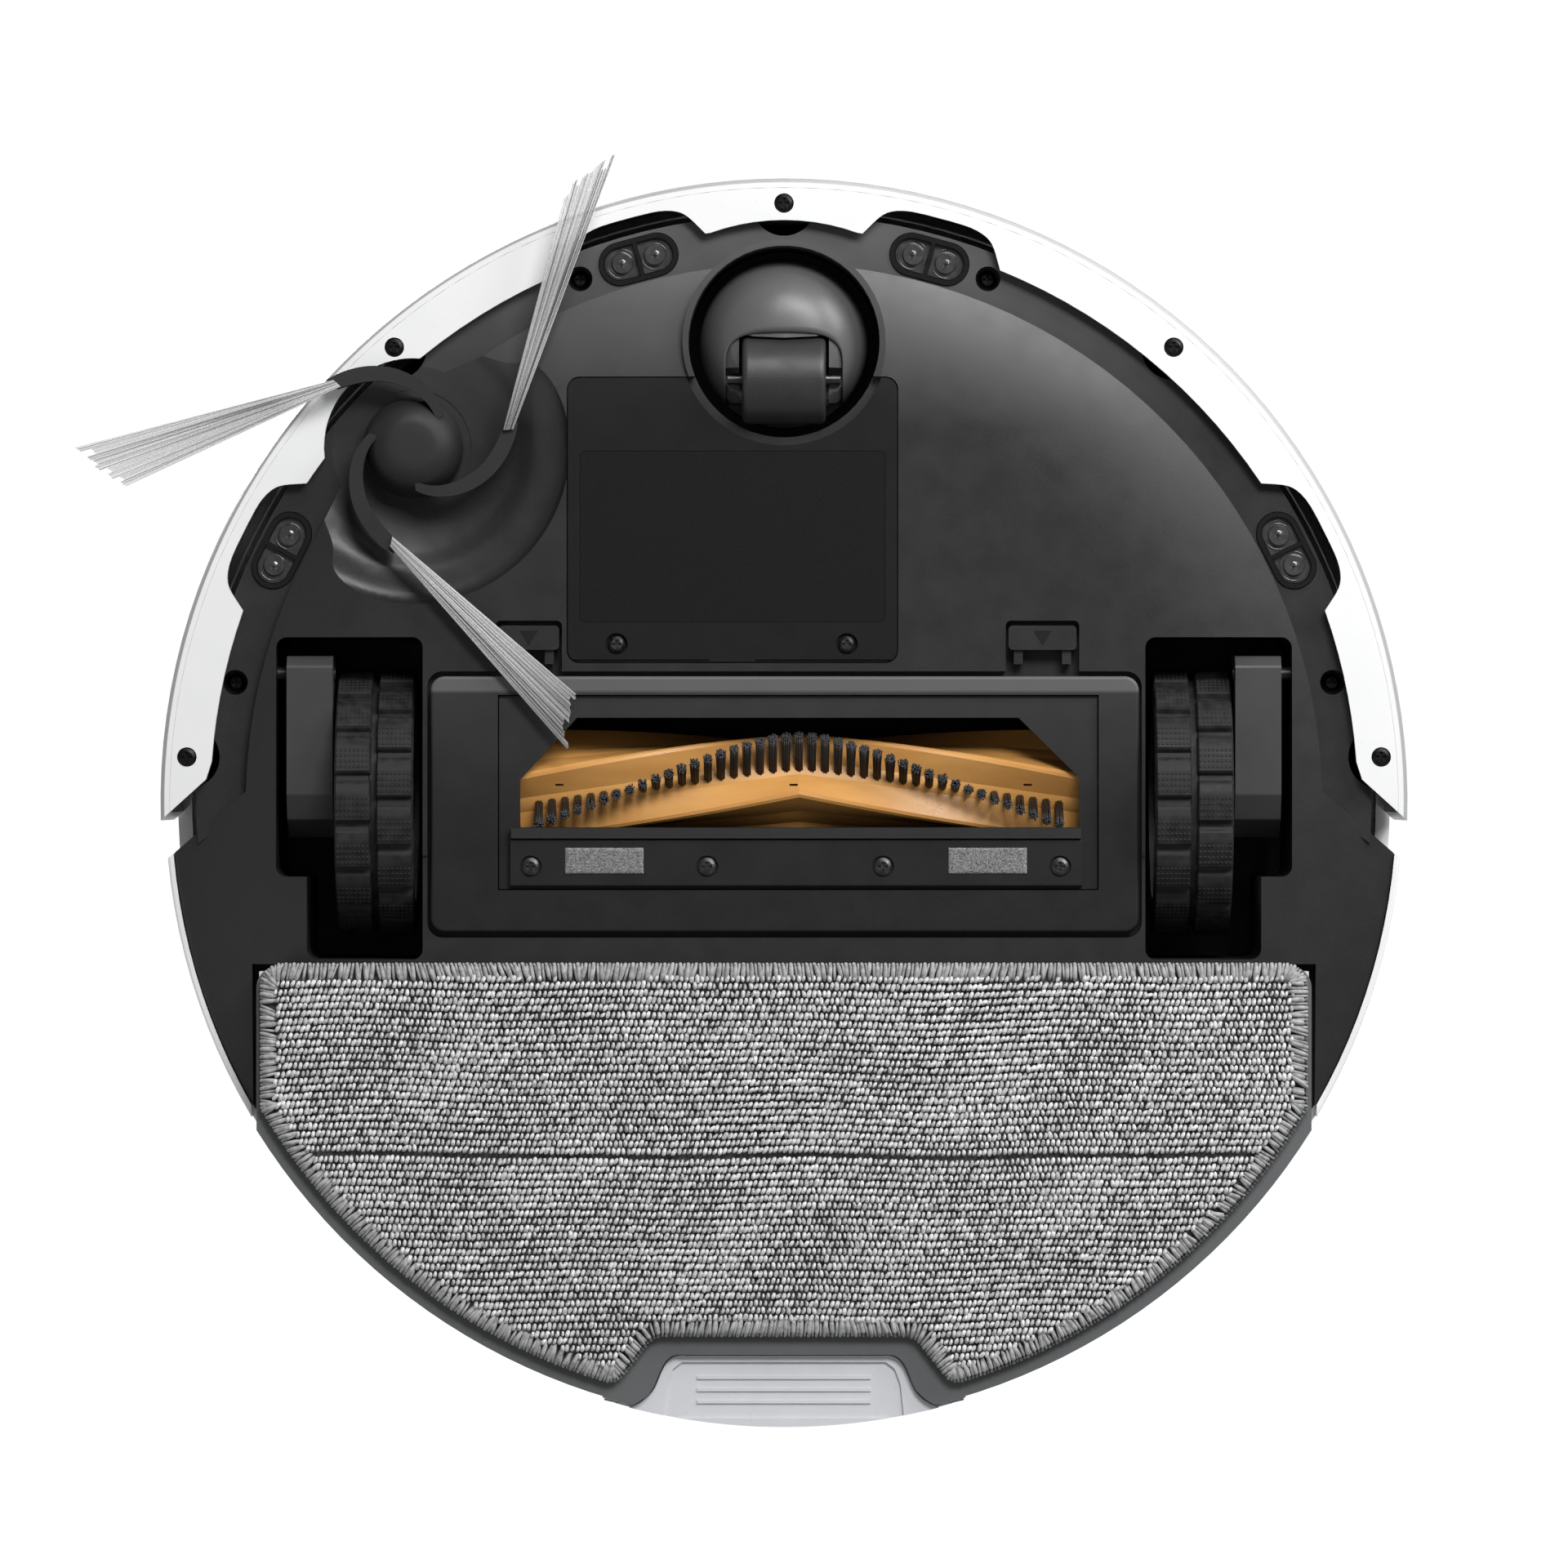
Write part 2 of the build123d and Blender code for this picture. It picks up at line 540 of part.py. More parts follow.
def wheel_tyre():
    """Rubber tyre with two rows of blocks, half a pitch apart."""
    root = WHEEL_R - WHEEL_TREAD
    tyre = rod(root, WHEEL_IN, WHEEL_OUT, 0, WHEEL_R)
    middle = (WHEEL_IN + WHEEL_OUT) / 2
    pitch = 360.0 / TREAD_BLOCKS
    row = (
        rod(WHEEL_R, WHEEL_IN + 0.2, middle - 0.9, 0, WHEEL_R),
        rod(WHEEL_R, middle + 0.9, WHEEL_OUT - 0.2, 0, WHEEL_R),
    )
    for side, band in enumerate(row):
        for i in range(TREAD_BLOCKS):
            turn = pitch * (i + 0.5 * side)
            gap = Pos(0, 0, WHEEL_R) * Rot(turn, 0, 0) * Pos(0, 0, WHEEL_R) * Box(400, 3.6, 2 * WHEEL_TREAD)
            band -= gap
        tyre += band
    return tyre - rod(WHEEL_R - 6.9, WHEEL_IN - 1, WHEEL_OUT + 1, 0, WHEEL_R)


# ---- Caster -------------------------------------------------------------------------------------
def caster_fork():
    """Domed swivel housing that covers the front of the caster wheel."""
    profile = [(0, 5.2), (9.0, 6.0), (15.0, 8.6), (19.6, 12.8), (22.4, 18.0), (23.4, 24.0)]
    dome = lathe(profile + [(23.4, 36.0), (0, 36.0)], 0, CASTER_Y)
    dome = soften(dome, 2.0, lambda s: rims(s, 0.0, 24.0))
    dome -= rod(CASTER_WHEEL_R + 1.0, -12.6, 12.6, CASTER_AXLE_Y, CASTER_WHEEL_R)
    dome -= block(-12.6, 12.6, CASTER_AXLE_Y, 0, 0, CASTER_WHEEL_R + 11)
    dome -= block(-40, 40, CASTER_AXLE_Y + 6.5, 0, 0, 30)
    dome -= rod(1.55, -18, 18, CASTER_AXLE_Y, CASTER_WHEEL_R)
    dome -= both(block(12.0, 16.4, CASTER_AXLE_Y - 3.2, CASTER_AXLE_Y + 3.2, 0, CASTER_WHEEL_R + 1.5))
    dome += disc(2.0, 35.0, 49.0, 0, CASTER_Y) + disc(4.0, 47.4, 48.4, 0, CASTER_Y)
    return max(dome.solids(), key=lambda s: s.volume)


def caster_wheel():
    wheel = rod(CASTER_WHEEL_R, -CASTER_WHEEL_W / 2, CASTER_WHEEL_W / 2, CASTER_AXLE_Y, CASTER_WHEEL_R)
    wheel = soften(wheel, 1.6, lambda s: s.edges().filter_by(GeomType.CIRCLE))
    return wheel - rod(1.85, -20, 20, CASTER_AXLE_Y, CASTER_WHEEL_R)


def caster_axle():
    return rod(1.48, -15.8, 15.8, CASTER_AXLE_Y, CASTER_WHEEL_R)


# ---- Side brush ---------------------------------------------------------------------------------
def around_sweep(radius, angle):
    """Point round the side brush axis, angle anticlockwise from +X as seen from below."""
    return SWEEP_X + radius * cos(radians(angle)), SWEEP_Y - radius * sin(radians(angle))


def sweep_arm(angle):
    """Curved rubber arm that trails round the hub and ends in a socket for the bristles."""
    inner, outer = 9.6, 30.4
    turns = (-98.0, -78.0, -52.0, -26.0, -8.0, 0.0)
    path_out = [around_sweep(r, angle + t) for t, r in zip(turns, (12.4, 15.4, 20.0, 25.2, 28.8, outer))]
    path_in = [around_sweep(r, angle + t) for t, r in zip(turns, (inner, 12.0, 15.6, 20.4, 24.2, 26.4))]
    ends = [Line(path_out[-1], path_in[-1]), Line(path_in[0], path_out[0])]
    face = make_face([Spline(*path_out), Spline(*path_in)] + ends)
    return extrude(Pos(0, 0, 6.2) * face, 4.6)


def side_brush_hub():
    profile = [(0, 4.6), (6.0, 4.9), (10.0, 6.4), (12.6, 9.4), (13.4, 13.0), (13.4, 15.4), (0, 15.4)]
    dome = lathe(profile, SWEEP_X, SWEEP_Y)
    dome = soften(dome, 1.5, lambda s: rims(s, 0.0, 12.0))
    for arm in SWEEP_ARMS:
        dome += sweep_arm(arm[0])
    return dome + disc(2.05, 15.0, 30.8, SWEEP_X, SWEEP_Y)


def side_brush_bristles():
    """Envelope of the three bristle bundles, each cut off at a slant."""
    bundles = []
    for end, long_r, long_angle, short_r, short_angle in SWEEP_ARMS:
        outline = [
            around_sweep(26.8, end + 1.2),
            around_sweep(30.2, end + 0.8),
            around_sweep(long_r, long_angle),
            around_sweep(short_r, short_angle),
        ]
        bundles.append(prism(outline, 4.2, 6.1))
    return group(bundles)


def side_brush_motor():
    box = block(SWEEP_X - 15, SWEEP_X + 17, SWEEP_Y - 12, SWEEP_Y + 15, 31.5, 50.0, 3.0)
    return box + disc(12.0, 50.0, 68.0, SWEEP_X + 2, SWEEP_Y + 1)


# ---- Main brush and its cover -------------------------------------------------------------------
def brush_cover_frame():
    frame = frame_block(COVER, 7.8, 12.3, 4.0, 0.3)
    frame = soften(frame, 0.9, lambda s: s.edges().filter_by(lambda e: e.center().Z < 7.9))
    return frame - frame_block(COVER_HOLE, 0, 20)


def brush_guard():
    """Inner plate with the suction mouth, let into the cover."""
    x0, x1, y0, y1 = COVER_HOLE
    plate = frame_block(COVER_HOLE, 9.0, 12.3, 0.0, 0.3)
    plate -= block(x0, x1, 7.1, y1, 10.4, 13)
    plate -= prism(MOUTH, 0, 20)
    for x in SCRAPER_SCREW_X:
        plate -= disc(1.3, 0, 20, x, 18.1)
    return plate - rod(ROLLER_FIN_R + 1.2, ROLLER_X0 - 2, ROLLER_X1 + 2, ROLLER_Y, ROLLER_Z)


def scraper_bar():
    bar = block(-76.6, 83.5, 10.4, 23.6, 7.0, 8.9)
    bar = soften(bar, 0.5, lambda s: s.edges().filter_by(Axis.X).filter_by(lambda e: e.center().Z < 7.1))
    for x in SCRAPER_SCREW_X:
        bar -= disc(1.3, 0, 12, x, 18.1) + disc(3.1, 0, 7.9, x, 18.1)
    for x0, x1 in FELT_X:
        bar -= block(x0 - 0.1, x1 + 0.1, 12.7, 20.2, 0, 7.4)
    return bar


def scraper_lip():
    """Rubber strip along the rear of the mouth."""
    return block(-76.4, 83.2, 7.3, 10.2, 6.2, 8.9)


def felt_pads():
    return group([block(x0, x1, 12.8, 20.1, 6.6, 7.3) for x0, x1 in FELT_X])


def scraper_screws():
    return group([screw_up(2.5, 6.9, 1.0, 3.6, x, 18.1) for x in SCRAPER_SCREW_X])


def cover_latch(x0, x1):
    """Thumb tab with a stem that reaches under the cover's front edge."""
    tab = block(x0, x1, -49.4, -42.6, 8.4, 12.8, 1.2)
    tab -= prism([((x0 + x1) / 2 - 2.2, -47.6), ((x0 + x1) / 2 + 2.2, -47.6), ((x0 + x1) / 2, -44.2)], 0, 8.8)
    for x in (x0 + 1.5, x1 - 4.0):
        tab += block(x, x + 2.5, -43.5, -38.6, 9.4, 12.4)
    return tab


def v_turn(x, front, twist):
    """Angle of a V about the roller at x: 0 straight down, positive to the rear."""
    middle = (ROLLER_X0 + ROLLER_X1) / 2
    return front + twist * abs(x - middle) / (ROLLER_X1 - middle)


def on_roller(x, radius, turn):
    a = radians(turn)
    return Vector(x, ROLLER_Y + radius * sin(a), ROLLER_Z - radius * cos(a))


def brush_fin(side, turn):
    """Half of one broad V-shaped fin, twisting from the middle out to one end."""
    middle, half = (ROLLER_X0 + ROLLER_X1) / 2, (ROLLER_X1 - ROLLER_X0) / 2 - 1.5
    root, tip = ROLLER_CORE_R - 1.2, ROLLER_FIN_R
    corners = [(0, -5.2, -root), (0, 5.2, -root), (0, 0.9, -tip + 0.3), (0, 0, -tip), (0, -0.9, -tip + 0.3)]
    section = Rot(V_FRONT + turn, 0, 0) * make_face(Polyline(*corners, close=True))
    twist = V_TWIST * half / (half + 1.5)
    fin = Solid.extrude_linear_with_rotation(section.face(), (0, 0, 0), (side * half, 0, 0), side * twist)
    return Pos(middle, ROLLER_Y, ROLLER_Z) * fin


def brush_core():
    """Soft roller core with V-shaped fins."""
    core = rod(ROLLER_CORE_R, ROLLER_X0, ROLLER_X1, ROLLER_Y, ROLLER_Z)
    for i in range(ROLLER_FINS):
        for side in (-1, 1):
            core += brush_fin(side, 360.0 / ROLLER_FINS * (i + 0.5))
    for x in CORE_SLOTS:
        core -= block(x - 1.15, x + 1.15, ROLLER_Y - 1.2, ROLLER_Y - 0.6, 5.0, ROLLER_Z - 11.0)
    return core - rod(4.0, ROLLER_X0 - 1, ROLLER_X1 + 1, ROLLER_Y, ROLLER_Z)


def brush_spindle():
    """Steel rod through the core: a square drive on the -X side, a journal and end cap on the other."""
    shaft = rod(3.98, ROLLER_X0 - 1.0, ROLLER_X1 + 1.0, ROLLER_Y, ROLLER_Z)
    shaft += rod(2.0, ROLLER_X1, ROLLER_X1 + 9.4, ROLLER_Y, ROLLER_Z)
    shaft += rod(7.5, ROLLER_X1 + 1.0, ROLLER_X1 + 4.4, ROLLER_Y, ROLLER_Z)
    return shaft + Pos(ROLLER_X0 - 8.0, ROLLER_Y, ROLLER_Z) * Box(15.0, 5.0, 5.0)


def brush_bristles():
    """V-shaped row of tufts, as plain leaning pegs on the core between two fins."""
    pegs = []
    middle = (ROLLER_X0 + ROLLER_X1) / 2
    for i in range(TUFTS):
        x = middle + TUFT_PITCH * (i - (TUFTS - 1) / 2)
        root = on_roller(x, ROLLER_CORE_R + 1.0, v_turn(x, V_FRONT, V_TWIST))
        tip = on_roller(x, BRISTLE_R - 1.5, v_turn(x, TIP_FRONT, TIP_TWIST))
        pegs.append(Solid.make_cylinder(0.9, (tip - root).length, Plane(root, z_dir=tip - root)))
    return pegs


def brush_drive():
    """Gearbox beside the brush chamber, with its motor lying on top of the chamber."""
    case = block(-99.4, -90.0, -24.0, 16.0, 16.0, 76.0, 1.5) + block(-91.0, -88.4, -12, 6, 17, 37)
    case += rod(12.4, -92.0, -46.0, ROLLER_Y, 63.4)
    return case - rod(3.9, -96.0, -87.0, ROLLER_Y, ROLLER_Z)


# ---- Water tank and mop -------------------------------------------------------------------------
def upright(shape, test):
    """Upright edges whose position passes the test."""
    return shape.edges().filter_by(Axis.Z).filter_by(lambda e: test(abs(e.center().X), e.center().Y))


def tab_notch(grow, z0, z1):
    """Notch at the rear for the release tab, flared in an S-curve to each side."""
    right = [(28.0, 154.6), (32.6, 155.9), (35.0, 160.0), (37.0, 164.4), (40.6, 167.7), (48.5, 169.9)]
    right = [(x + grow, y - grow * 0.8) for x, y in right]
    left = [(-x, y) for x, y in reversed(right)]
    rear = [right[-1], (right[-1][0], REACH), (left[0][0], REACH), left[0]]
    sides = [Line(a, b) for a, b in zip(rear, rear[1:])]
    face = make_face([Spline(*right), *sides, Spline(*left), Line(left[-1], right[0])])
    return extrude(Pos(0, 0, z0) * face, z1 - z0)


def board_plan(z0, z1, half, front, radius, notch_grow):
    """Half-round plan with rounded front corners and a notch at the rear for the release tab."""
    plan = block(-half, half, front, REACH, z0, z1) & disc(radius, z0, z1)
    plan -= tab_notch(notch_grow, z0, z1)
    return soften(plan, 6.0, lambda s: upright(s, lambda x, y: y < front + 0.1))


def mop_board():
    return board_plan(BOARD_Z, BOARD_TOP, BOARD_HALF, BOARD_FRONT, BOARD_R, 0.0)


def mop_cloth():
    cloth = board_plan(0.0, BOARD_Z - 0.1, CLOTH_HALF, CLOTH_FRONT, CLOTH_R, 5.2)
    return soften(cloth, 1.6, lambda s: s.edges().filter_by(lambda e: e.center().Z < 0.1 and e.length > 20))


def water_tank():
    """Flat tank above the mop board, with a nose over the release tab."""
    outer = disc(173.2, 9.1, 26.5) & block(-147.0, 147.0, 47.5, REACH, 9.1, 26.5)
    outer += ring(160.0, BODY_R, 17.6, 26.3) & block(-51, 51, 100, REACH, 9.1, 26.5)
    outer -= block(-54.0, 54.0, 150.0, REACH, 0, 17.6)
    inner = disc(170.8, 11.1, 24.5) & block(-144.6, 144.6, 49.9, REACH, 11.1, 24.5)
    return outer - (inner - block(-56.4, 56.4, 147.6, REACH, 9.0, 20.0))


def release_tab():
    """Press tab in the notch behind the mop board."""
    top = [(30.5, 156.1), (37.4, 165.6), (50.6, 169.4), (50.6, REACH)]
    tab = prism(top + [(-x, y) for x, y in reversed(top)], 9.3, 14.0)
    tab += tab_notch(-0.4, 6.0, 9.3) & block(-43.5, 43.5, 100, REACH, 0, 20)
    tab &= disc(BODY_R - 0.1, 0, 30)
    inset = [(28.5, 156.7), (31.0, 158.6), (32.6, 163.0), (33.6, 172.4)]
    tab -= prism([(-x, y) for x, y in inset] + list(reversed(inset)), 5.0, 6.7)
    for y in (160.6, 164.0, 167.4):
        tab += block(-24.3, 24.3, y, y + 0.9, 6.3, 7.0)
    return tab


# ---- Dust box -----------------------------------------------------------------------------------
def dust_plan(inset, z0, z1):
    half, front = DUST_HALF - inset, DUST_FRONT + inset
    return block(-half, half, front, REACH, z0, z1) & disc(DUST_R - inset, z0, z1)


def dust_box():
    box = dust_plan(0, DUST_Z, DUST_TOP - 1.9) - dust_plan(2, DUST_Z + 2, DUST_TOP)
    box -= block(-28, 28, DUST_FRONT - 1, DUST_FRONT + 4, 48, 60)
    return box - block(44, 84, DUST_FRONT - 1, DUST_FRONT + 4, 47, 65)


def dust_box_lid():
    return dust_plan(0, DUST_TOP - 1.8, DUST_TOP)


def dust_filter():
    """Pleated filter in a frame, plugged into the dust box's front wall."""
    slab = block(44.2, 83.8, DUST_FRONT + 0.2, DUST_FRONT + 9.0, 47.2, 64.8)
    for i in range(9):
        x = 47.0 + 4.1 * i
        slab -= block(x, x + 2.0, DUST_FRONT, DUST_FRONT + 6.5, 49.0, 63.0)
    return slab


def dust_box_panel():
    panel = ring(DUST_R + 0.2, SIDE_R, DUST_Z, WALL_TOP)
    panel &= block(-DUST_HALF, DUST_HALF, 100, REACH, DUST_Z, WALL_TOP)
    panel -= block(-24, 24, 150, 170.6, 47, 67)
    return panel - Pos(0, 170, 57) * Rot(90, 0, 0) * extrude(SlotOverall(36.8, 12.8), 20, both=True)


def dust_box_button():
    """Push button with a flange behind the panel."""
    face = Pos(0, 174.4, 57) * Rot(90, 0, 0) * extrude(SlotOverall(36.0, 12.0), 6.0)
    return face + block(-20.5, 20.5, 166.2, 168.4, 49.5, 64.5)


# ---- Top ----------------------------------------------------------------------------------------
def top_cover():
    rim = [(170.0, 77.8), (170.0, 75.0), (SIDE_R, 75.0), (SIDE_R, 77.6), (SIDE_R - 2.4, TOP_Z)]
    lid = lathe([(0, 77.8)] + rim + [(0, TOP_Z)])
    lid = soften(lid, 1.4, lambda s: rims(s, 77.5, TOP_Z + 1).filter_by(lambda e: e.radius > 171))
    lid -= disc(LIDAR_R + 0.3, 70, 90, 0, LIDAR_Y)
    for side in (-1, 1):
        lid -= disc(BUTTON_R + 0.4, 70, 90, side * BUTTON_X, BUTTON_Y)
    return lid - ring(108.0, 108.5, TOP_Z - 0.5, TOP_Z + 1)


def touch_button(side):
    button = disc(BUTTON_R, 77.9, TOP_Z + 0.5, side * BUTTON_X, BUTTON_Y)
    return soften(button, 0.5, lambda s: rims(s, TOP_Z, TOP_Z + 2))


def lidar_posts(grow, z0, z1):
    angles = [radians(a) for a in range(30, 390, 60)]
    points = [(37.0 * cos(a), LIDAR_Y + 37.0 * sin(a)) for a in angles]
    posts = disc(2.0 + grow, z0, z1, *points[0])
    for x, y in points[1:]:
        posts += disc(2.0 + grow, z0, z1, x, y)
    return posts


def lidar_base():
    """Fixed ring and floor of the turret."""
    base = disc(LIDAR_R, 73.0, 82.6, 0, LIDAR_Y)
    base = soften(base, 1.0, lambda s: rims(s, 82.0, 84.0))
    base -= disc(33.6, 76.0, 90, 0, LIDAR_Y)
    base -= disc(3.4, 70, 90, 0, LIDAR_Y)
    return base - lidar_posts(0.4, 78.0, 90)


def lidar_rotor():
    """Spinning head with two eyes on its flat side."""
    head = disc(31.5, 76.6, 79.4, 0, LIDAR_Y)
    head += (disc(27.0, 79.4, 89.4, 0, LIDAR_Y) & block(-30, 30, LIDAR_Y - 20, LIDAR_Y + 30, 70, 95))
    for x in (-11.0, 11.0):
        head -= Pos(x, LIDAR_Y - 20, 84.4) * Rot(90, 0, 0) * Cylinder(4.1, 6.0)
    return head + disc(3.0, 72.2, 77.0, 0, LIDAR_Y)


def lidar_cap():
    """Floating lid of the turret on its posts. A knock on it presses a switch."""
    cap = disc(43.0, 92.0, LIDAR_TOP, 0, LIDAR_Y)
    cap = soften(cap, 1.8, lambda s: rims(s, 96.0, 97.0))
    cap -= ring(35.0, 35.4, LIDAR_TOP - 0.4, LIDAR_TOP, 0, LIDAR_Y)
    return cap + lidar_posts(0.0, 80.2, 92.5)


# ---- Inside -------------------------------------------------------------------------------------
def main_board():
    board = block(-66, 58, -106, -46, 50.0, 51.6, 2.0)
    parts = ((-50, -95, 16, 16, 2.0), (-10, -80, 12, 12, 1.6), (20, -98, 22, 9, 6.0), (-58, -62, 28, 7, 5.0))
    for x0, y0, w, d, h in parts:
        board += block(x0, x0 + w, y0, y0 + d, 51.6, 51.6 + h)
    return board


def fan_housing():
    """Suction fan: scroll, outlet towards the dust box, and the motor hung from its roof."""
    shell = disc(32.0, 51.2, 72.2, FAN_X, FAN_Y) + block(FAN_X - 4, FAN_X + 28, FAN_Y, 51.0, 51.2, 66.0)
    shell -= disc(30.0, 53.2, 70.2, FAN_X, FAN_Y)
    shell -= block(FAN_X - 2, FAN_X + 26, FAN_Y + 4, 52.0, 53.2, 64.0)
    shell -= disc(12.0, 48, 55, FAN_X, FAN_Y)
    return shell + disc(13.0, 64.4, 71.0, FAN_X, FAN_Y)


def fan_impeller():
    wheel = disc(26.0, 61.0, 62.4, FAN_X, FAN_Y) + disc(8.0, 56.0, 62.4, FAN_X, FAN_Y)
    for i in range(9):
        blade = Box(17.0, 1.2, 5.4)
        wheel += Pos(FAN_X, FAN_Y, 58.6) * Rot(0, 0, 40.0 * i) * Pos(15.5, 0, 0) * Rot(0, 0, 28) * blade
    return wheel


# ---- Nodes --------------------------------------------------------------------------------------
NODES = {
    "chassis_base": chassis_base,
    "mid_frame": mid_frame,
    "rear_shell": rear_shell,
    "rear_beam": rear_beam,
    "charging_contacts": charging_contacts,
    "brush_chamber": brush_chamber,
    "suction_duct": suction_duct,
    "battery_cover": battery_cover,
    "rating_label": rating_label,
    "battery_screws": battery_screws,
    "battery_pack": battery_pack,
    "shelf_screws": shelf_screws,
    "cliff_sensor_cases": lambda: cliff_sensors(False),
    "cliff_sensor_lenses": lambda: cliff_sensors(True),
    "bumper_shell": bumper_shell,
    "bumper_flange": bumper_flange,
    "bumper_screws": bumper_screws,
    "infrared_window": infrared_window,
    "caster_fork": caster_fork,
    "caster_wheel": caster_wheel,
    "caster_axle": caster_axle,
    "side_brush_hub": side_brush_hub,
    "side_brush_bristles": side_brush_bristles,
    "side_brush_motor": side_brush_motor,
    "brush_cover_frame": brush_cover_frame,
    "brush_guard": brush_guard,
    "scraper_bar": scraper_bar,
    "scraper_lip": scraper_lip,
    "felt_pads": felt_pads,
    "scraper_screws": scraper_screws,
    "cover_latch_right": lambda: cover_latch(-80.0, -63.0),
    "cover_latch_left": lambda: cover_latch(62.9, 81.9),
    "brush_core": brush_core,
    "brush_spindle": brush_spindle,
    "brush_bristles": lambda: group(brush_bristles()),
    "brush_drive": brush_drive,
    "mop_board": mop_board,
    "mop_cloth": mop_cloth,
    "water_tank": water_tank,
    "release_tab": release_tab,
    "dust_box": dust_box,
    "dust_box_lid": dust_box_lid,
    "dust_box_panel": dust_box_panel,
    "dust_filter": dust_filter,
    "dust_box_button": dust_box_button,
    "top_cover": top_cover,
    "power_button": lambda: touch_button(-1),
    "home_button": lambda: touch_button(1),
    "lidar_base": lidar_base,
    "lidar_rotor": lidar_rotor,
    "lidar_cap": lidar_cap,
    "main_board": main_board,
    "fan_housing": fan_housing,
    "fan_impeller": fan_impeller,
}

# made on the +X side, which is the robot's left, and mirrored for the right
WHEEL_NODES = {"wheel_arm": wheel_arm, "wheel_hub": wheel_hub, "wheel_tyre": wheel_tyre}

for node, make in NODES.items():
    export_step(make(), os.path.join("parts", node + ".step"))

for node, make in WHEEL_NODES.items():
    shape = make()
    export_step(shape, os.path.join("parts", "left_" + node + ".step"))
    export_step(mirror(shape, Plane.YZ), os.path.join("parts", "right_" + node + ".step"))
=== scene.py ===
"""Looks of the round robot vacuum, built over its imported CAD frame.

Metres in Blender; lengths named here are millimetres and go through MM. The front is -Y, +Z is up.
"""

import json
from math import atan2, cos, pi, radians, sin, sqrt

import bpy
import numpy as np
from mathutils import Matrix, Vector


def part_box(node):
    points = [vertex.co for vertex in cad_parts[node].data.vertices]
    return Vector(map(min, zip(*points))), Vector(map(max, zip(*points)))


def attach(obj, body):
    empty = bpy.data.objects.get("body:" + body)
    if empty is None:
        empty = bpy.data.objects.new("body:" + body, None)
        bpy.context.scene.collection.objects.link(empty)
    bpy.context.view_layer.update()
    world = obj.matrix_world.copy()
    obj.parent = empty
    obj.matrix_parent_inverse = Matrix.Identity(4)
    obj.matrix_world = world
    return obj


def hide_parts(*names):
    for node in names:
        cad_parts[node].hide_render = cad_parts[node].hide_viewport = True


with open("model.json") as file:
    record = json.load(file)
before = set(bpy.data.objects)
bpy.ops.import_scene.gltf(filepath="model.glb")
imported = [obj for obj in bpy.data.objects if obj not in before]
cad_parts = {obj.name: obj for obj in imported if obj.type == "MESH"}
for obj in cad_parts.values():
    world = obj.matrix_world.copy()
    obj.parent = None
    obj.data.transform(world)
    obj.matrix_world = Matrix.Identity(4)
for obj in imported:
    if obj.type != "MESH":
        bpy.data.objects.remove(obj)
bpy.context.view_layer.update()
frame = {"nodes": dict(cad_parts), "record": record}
NODES = frame["nodes"]
MM = 0.001
SEED = 11


# ---- Materials ----------------------------------------------------------------------------------
class Finish:
    """One Principled material and short calls for the nodes behind its sockets."""

    def __init__(self, name, rough=0.5, metal=0.0, **sockets):
        self.material = bpy.data.materials.new(name)
        self.material.use_nodes = True
        self.nodes = self.material.node_tree.nodes
        self.links = self.material.node_tree.links
        self.shader = self.nodes["Principled BSDF"]
        self.shader.inputs["Roughness"].default_value = rough
        self.shader.inputs["Metallic"].default_value = metal
        for socket, value in sockets.items():
            self.shader.inputs[socket.replace("_", " ")].default_value = value
        self.place = self.nodes.new("ShaderNodeTexCoord").outputs["Object"]

    def node(self, kind, inputs=None, **settings):
        node = self.nodes.new("ShaderNode" + kind)
        for key, value in settings.items():
            setattr(node, key, value)
        for key, value in (inputs or {}).items():
            self.feed(node.inputs[key], value)
        return node

    def feed(self, socket, value):
        if isinstance(value, bpy.types.NodeSocket):
            self.links.new(value, socket)
        else:
            socket.default_value = value

    def stretched(self, stretch):
        if stretch == (1, 1, 1):
            return self.place
        return self.node("Mapping", {"Vector": self.place, "Scale": stretch}).outputs["Vector"]

    def noise(self, size, detail=2.0, stretch=(1, 1, 1)):
        """Noise whose blobs are about size millimetres across."""
        inputs = {"Vector": self.stretched(stretch), "Scale": 1000.0 / size, "Detail": detail}
        return self.node("TexNoise", inputs).outputs["Fac"]

    def height(self, axis="Z"):
        return self.node("SeparateXYZ", {"Vector": self.place}).outputs[axis]

    def remap(self, value, from_low, from_high, low, high):
        inputs = {"Value": value, "From Min": from_low, "From Max": from_high, "To Min": low, "To Max": high}
        return self.node("MapRange", inputs).outputs["Result"]

    def math(self, operation, a, b):
        node = self.node("Math", operation=operation)
        self.feed(node.inputs[0], a)
        self.feed(node.inputs[1], b)
        return node.outputs["Value"]

    def mix(self, fac, a, b):
        """Colour between a and b; each is a grey level, an (r, g, b) or another node's output."""
        node = self.node("Mix", {"Factor": fac}, data_type="RGBA")
        for socket, value in ((node.inputs[6], a), (node.inputs[7], b)):
            self.feed(socket, value if isinstance(value, bpy.types.NodeSocket) else colour(value))
        return node.outputs[2]

    def paint(self, output):
        self.links.new(output, self.shader.inputs["Base Color"])
        return self

    def rough(self, output):
        self.links.new(output, self.shader.inputs["Roughness"])
        return self

    def bump(self, height, depth, strength=1.0):
        """Adds a bump of depth millimetres on top of any bump already there."""
        inputs = {"Height": height, "Distance": depth * MM, "Strength": strength}
        node = self.node("Bump", inputs)
        socket = self.shader.inputs["Normal"]
        if socket.links:
            self.links.new(socket.links[0].from_socket, node.inputs["Normal"])
        self.links.new(node.outputs["Normal"], socket)
        return self


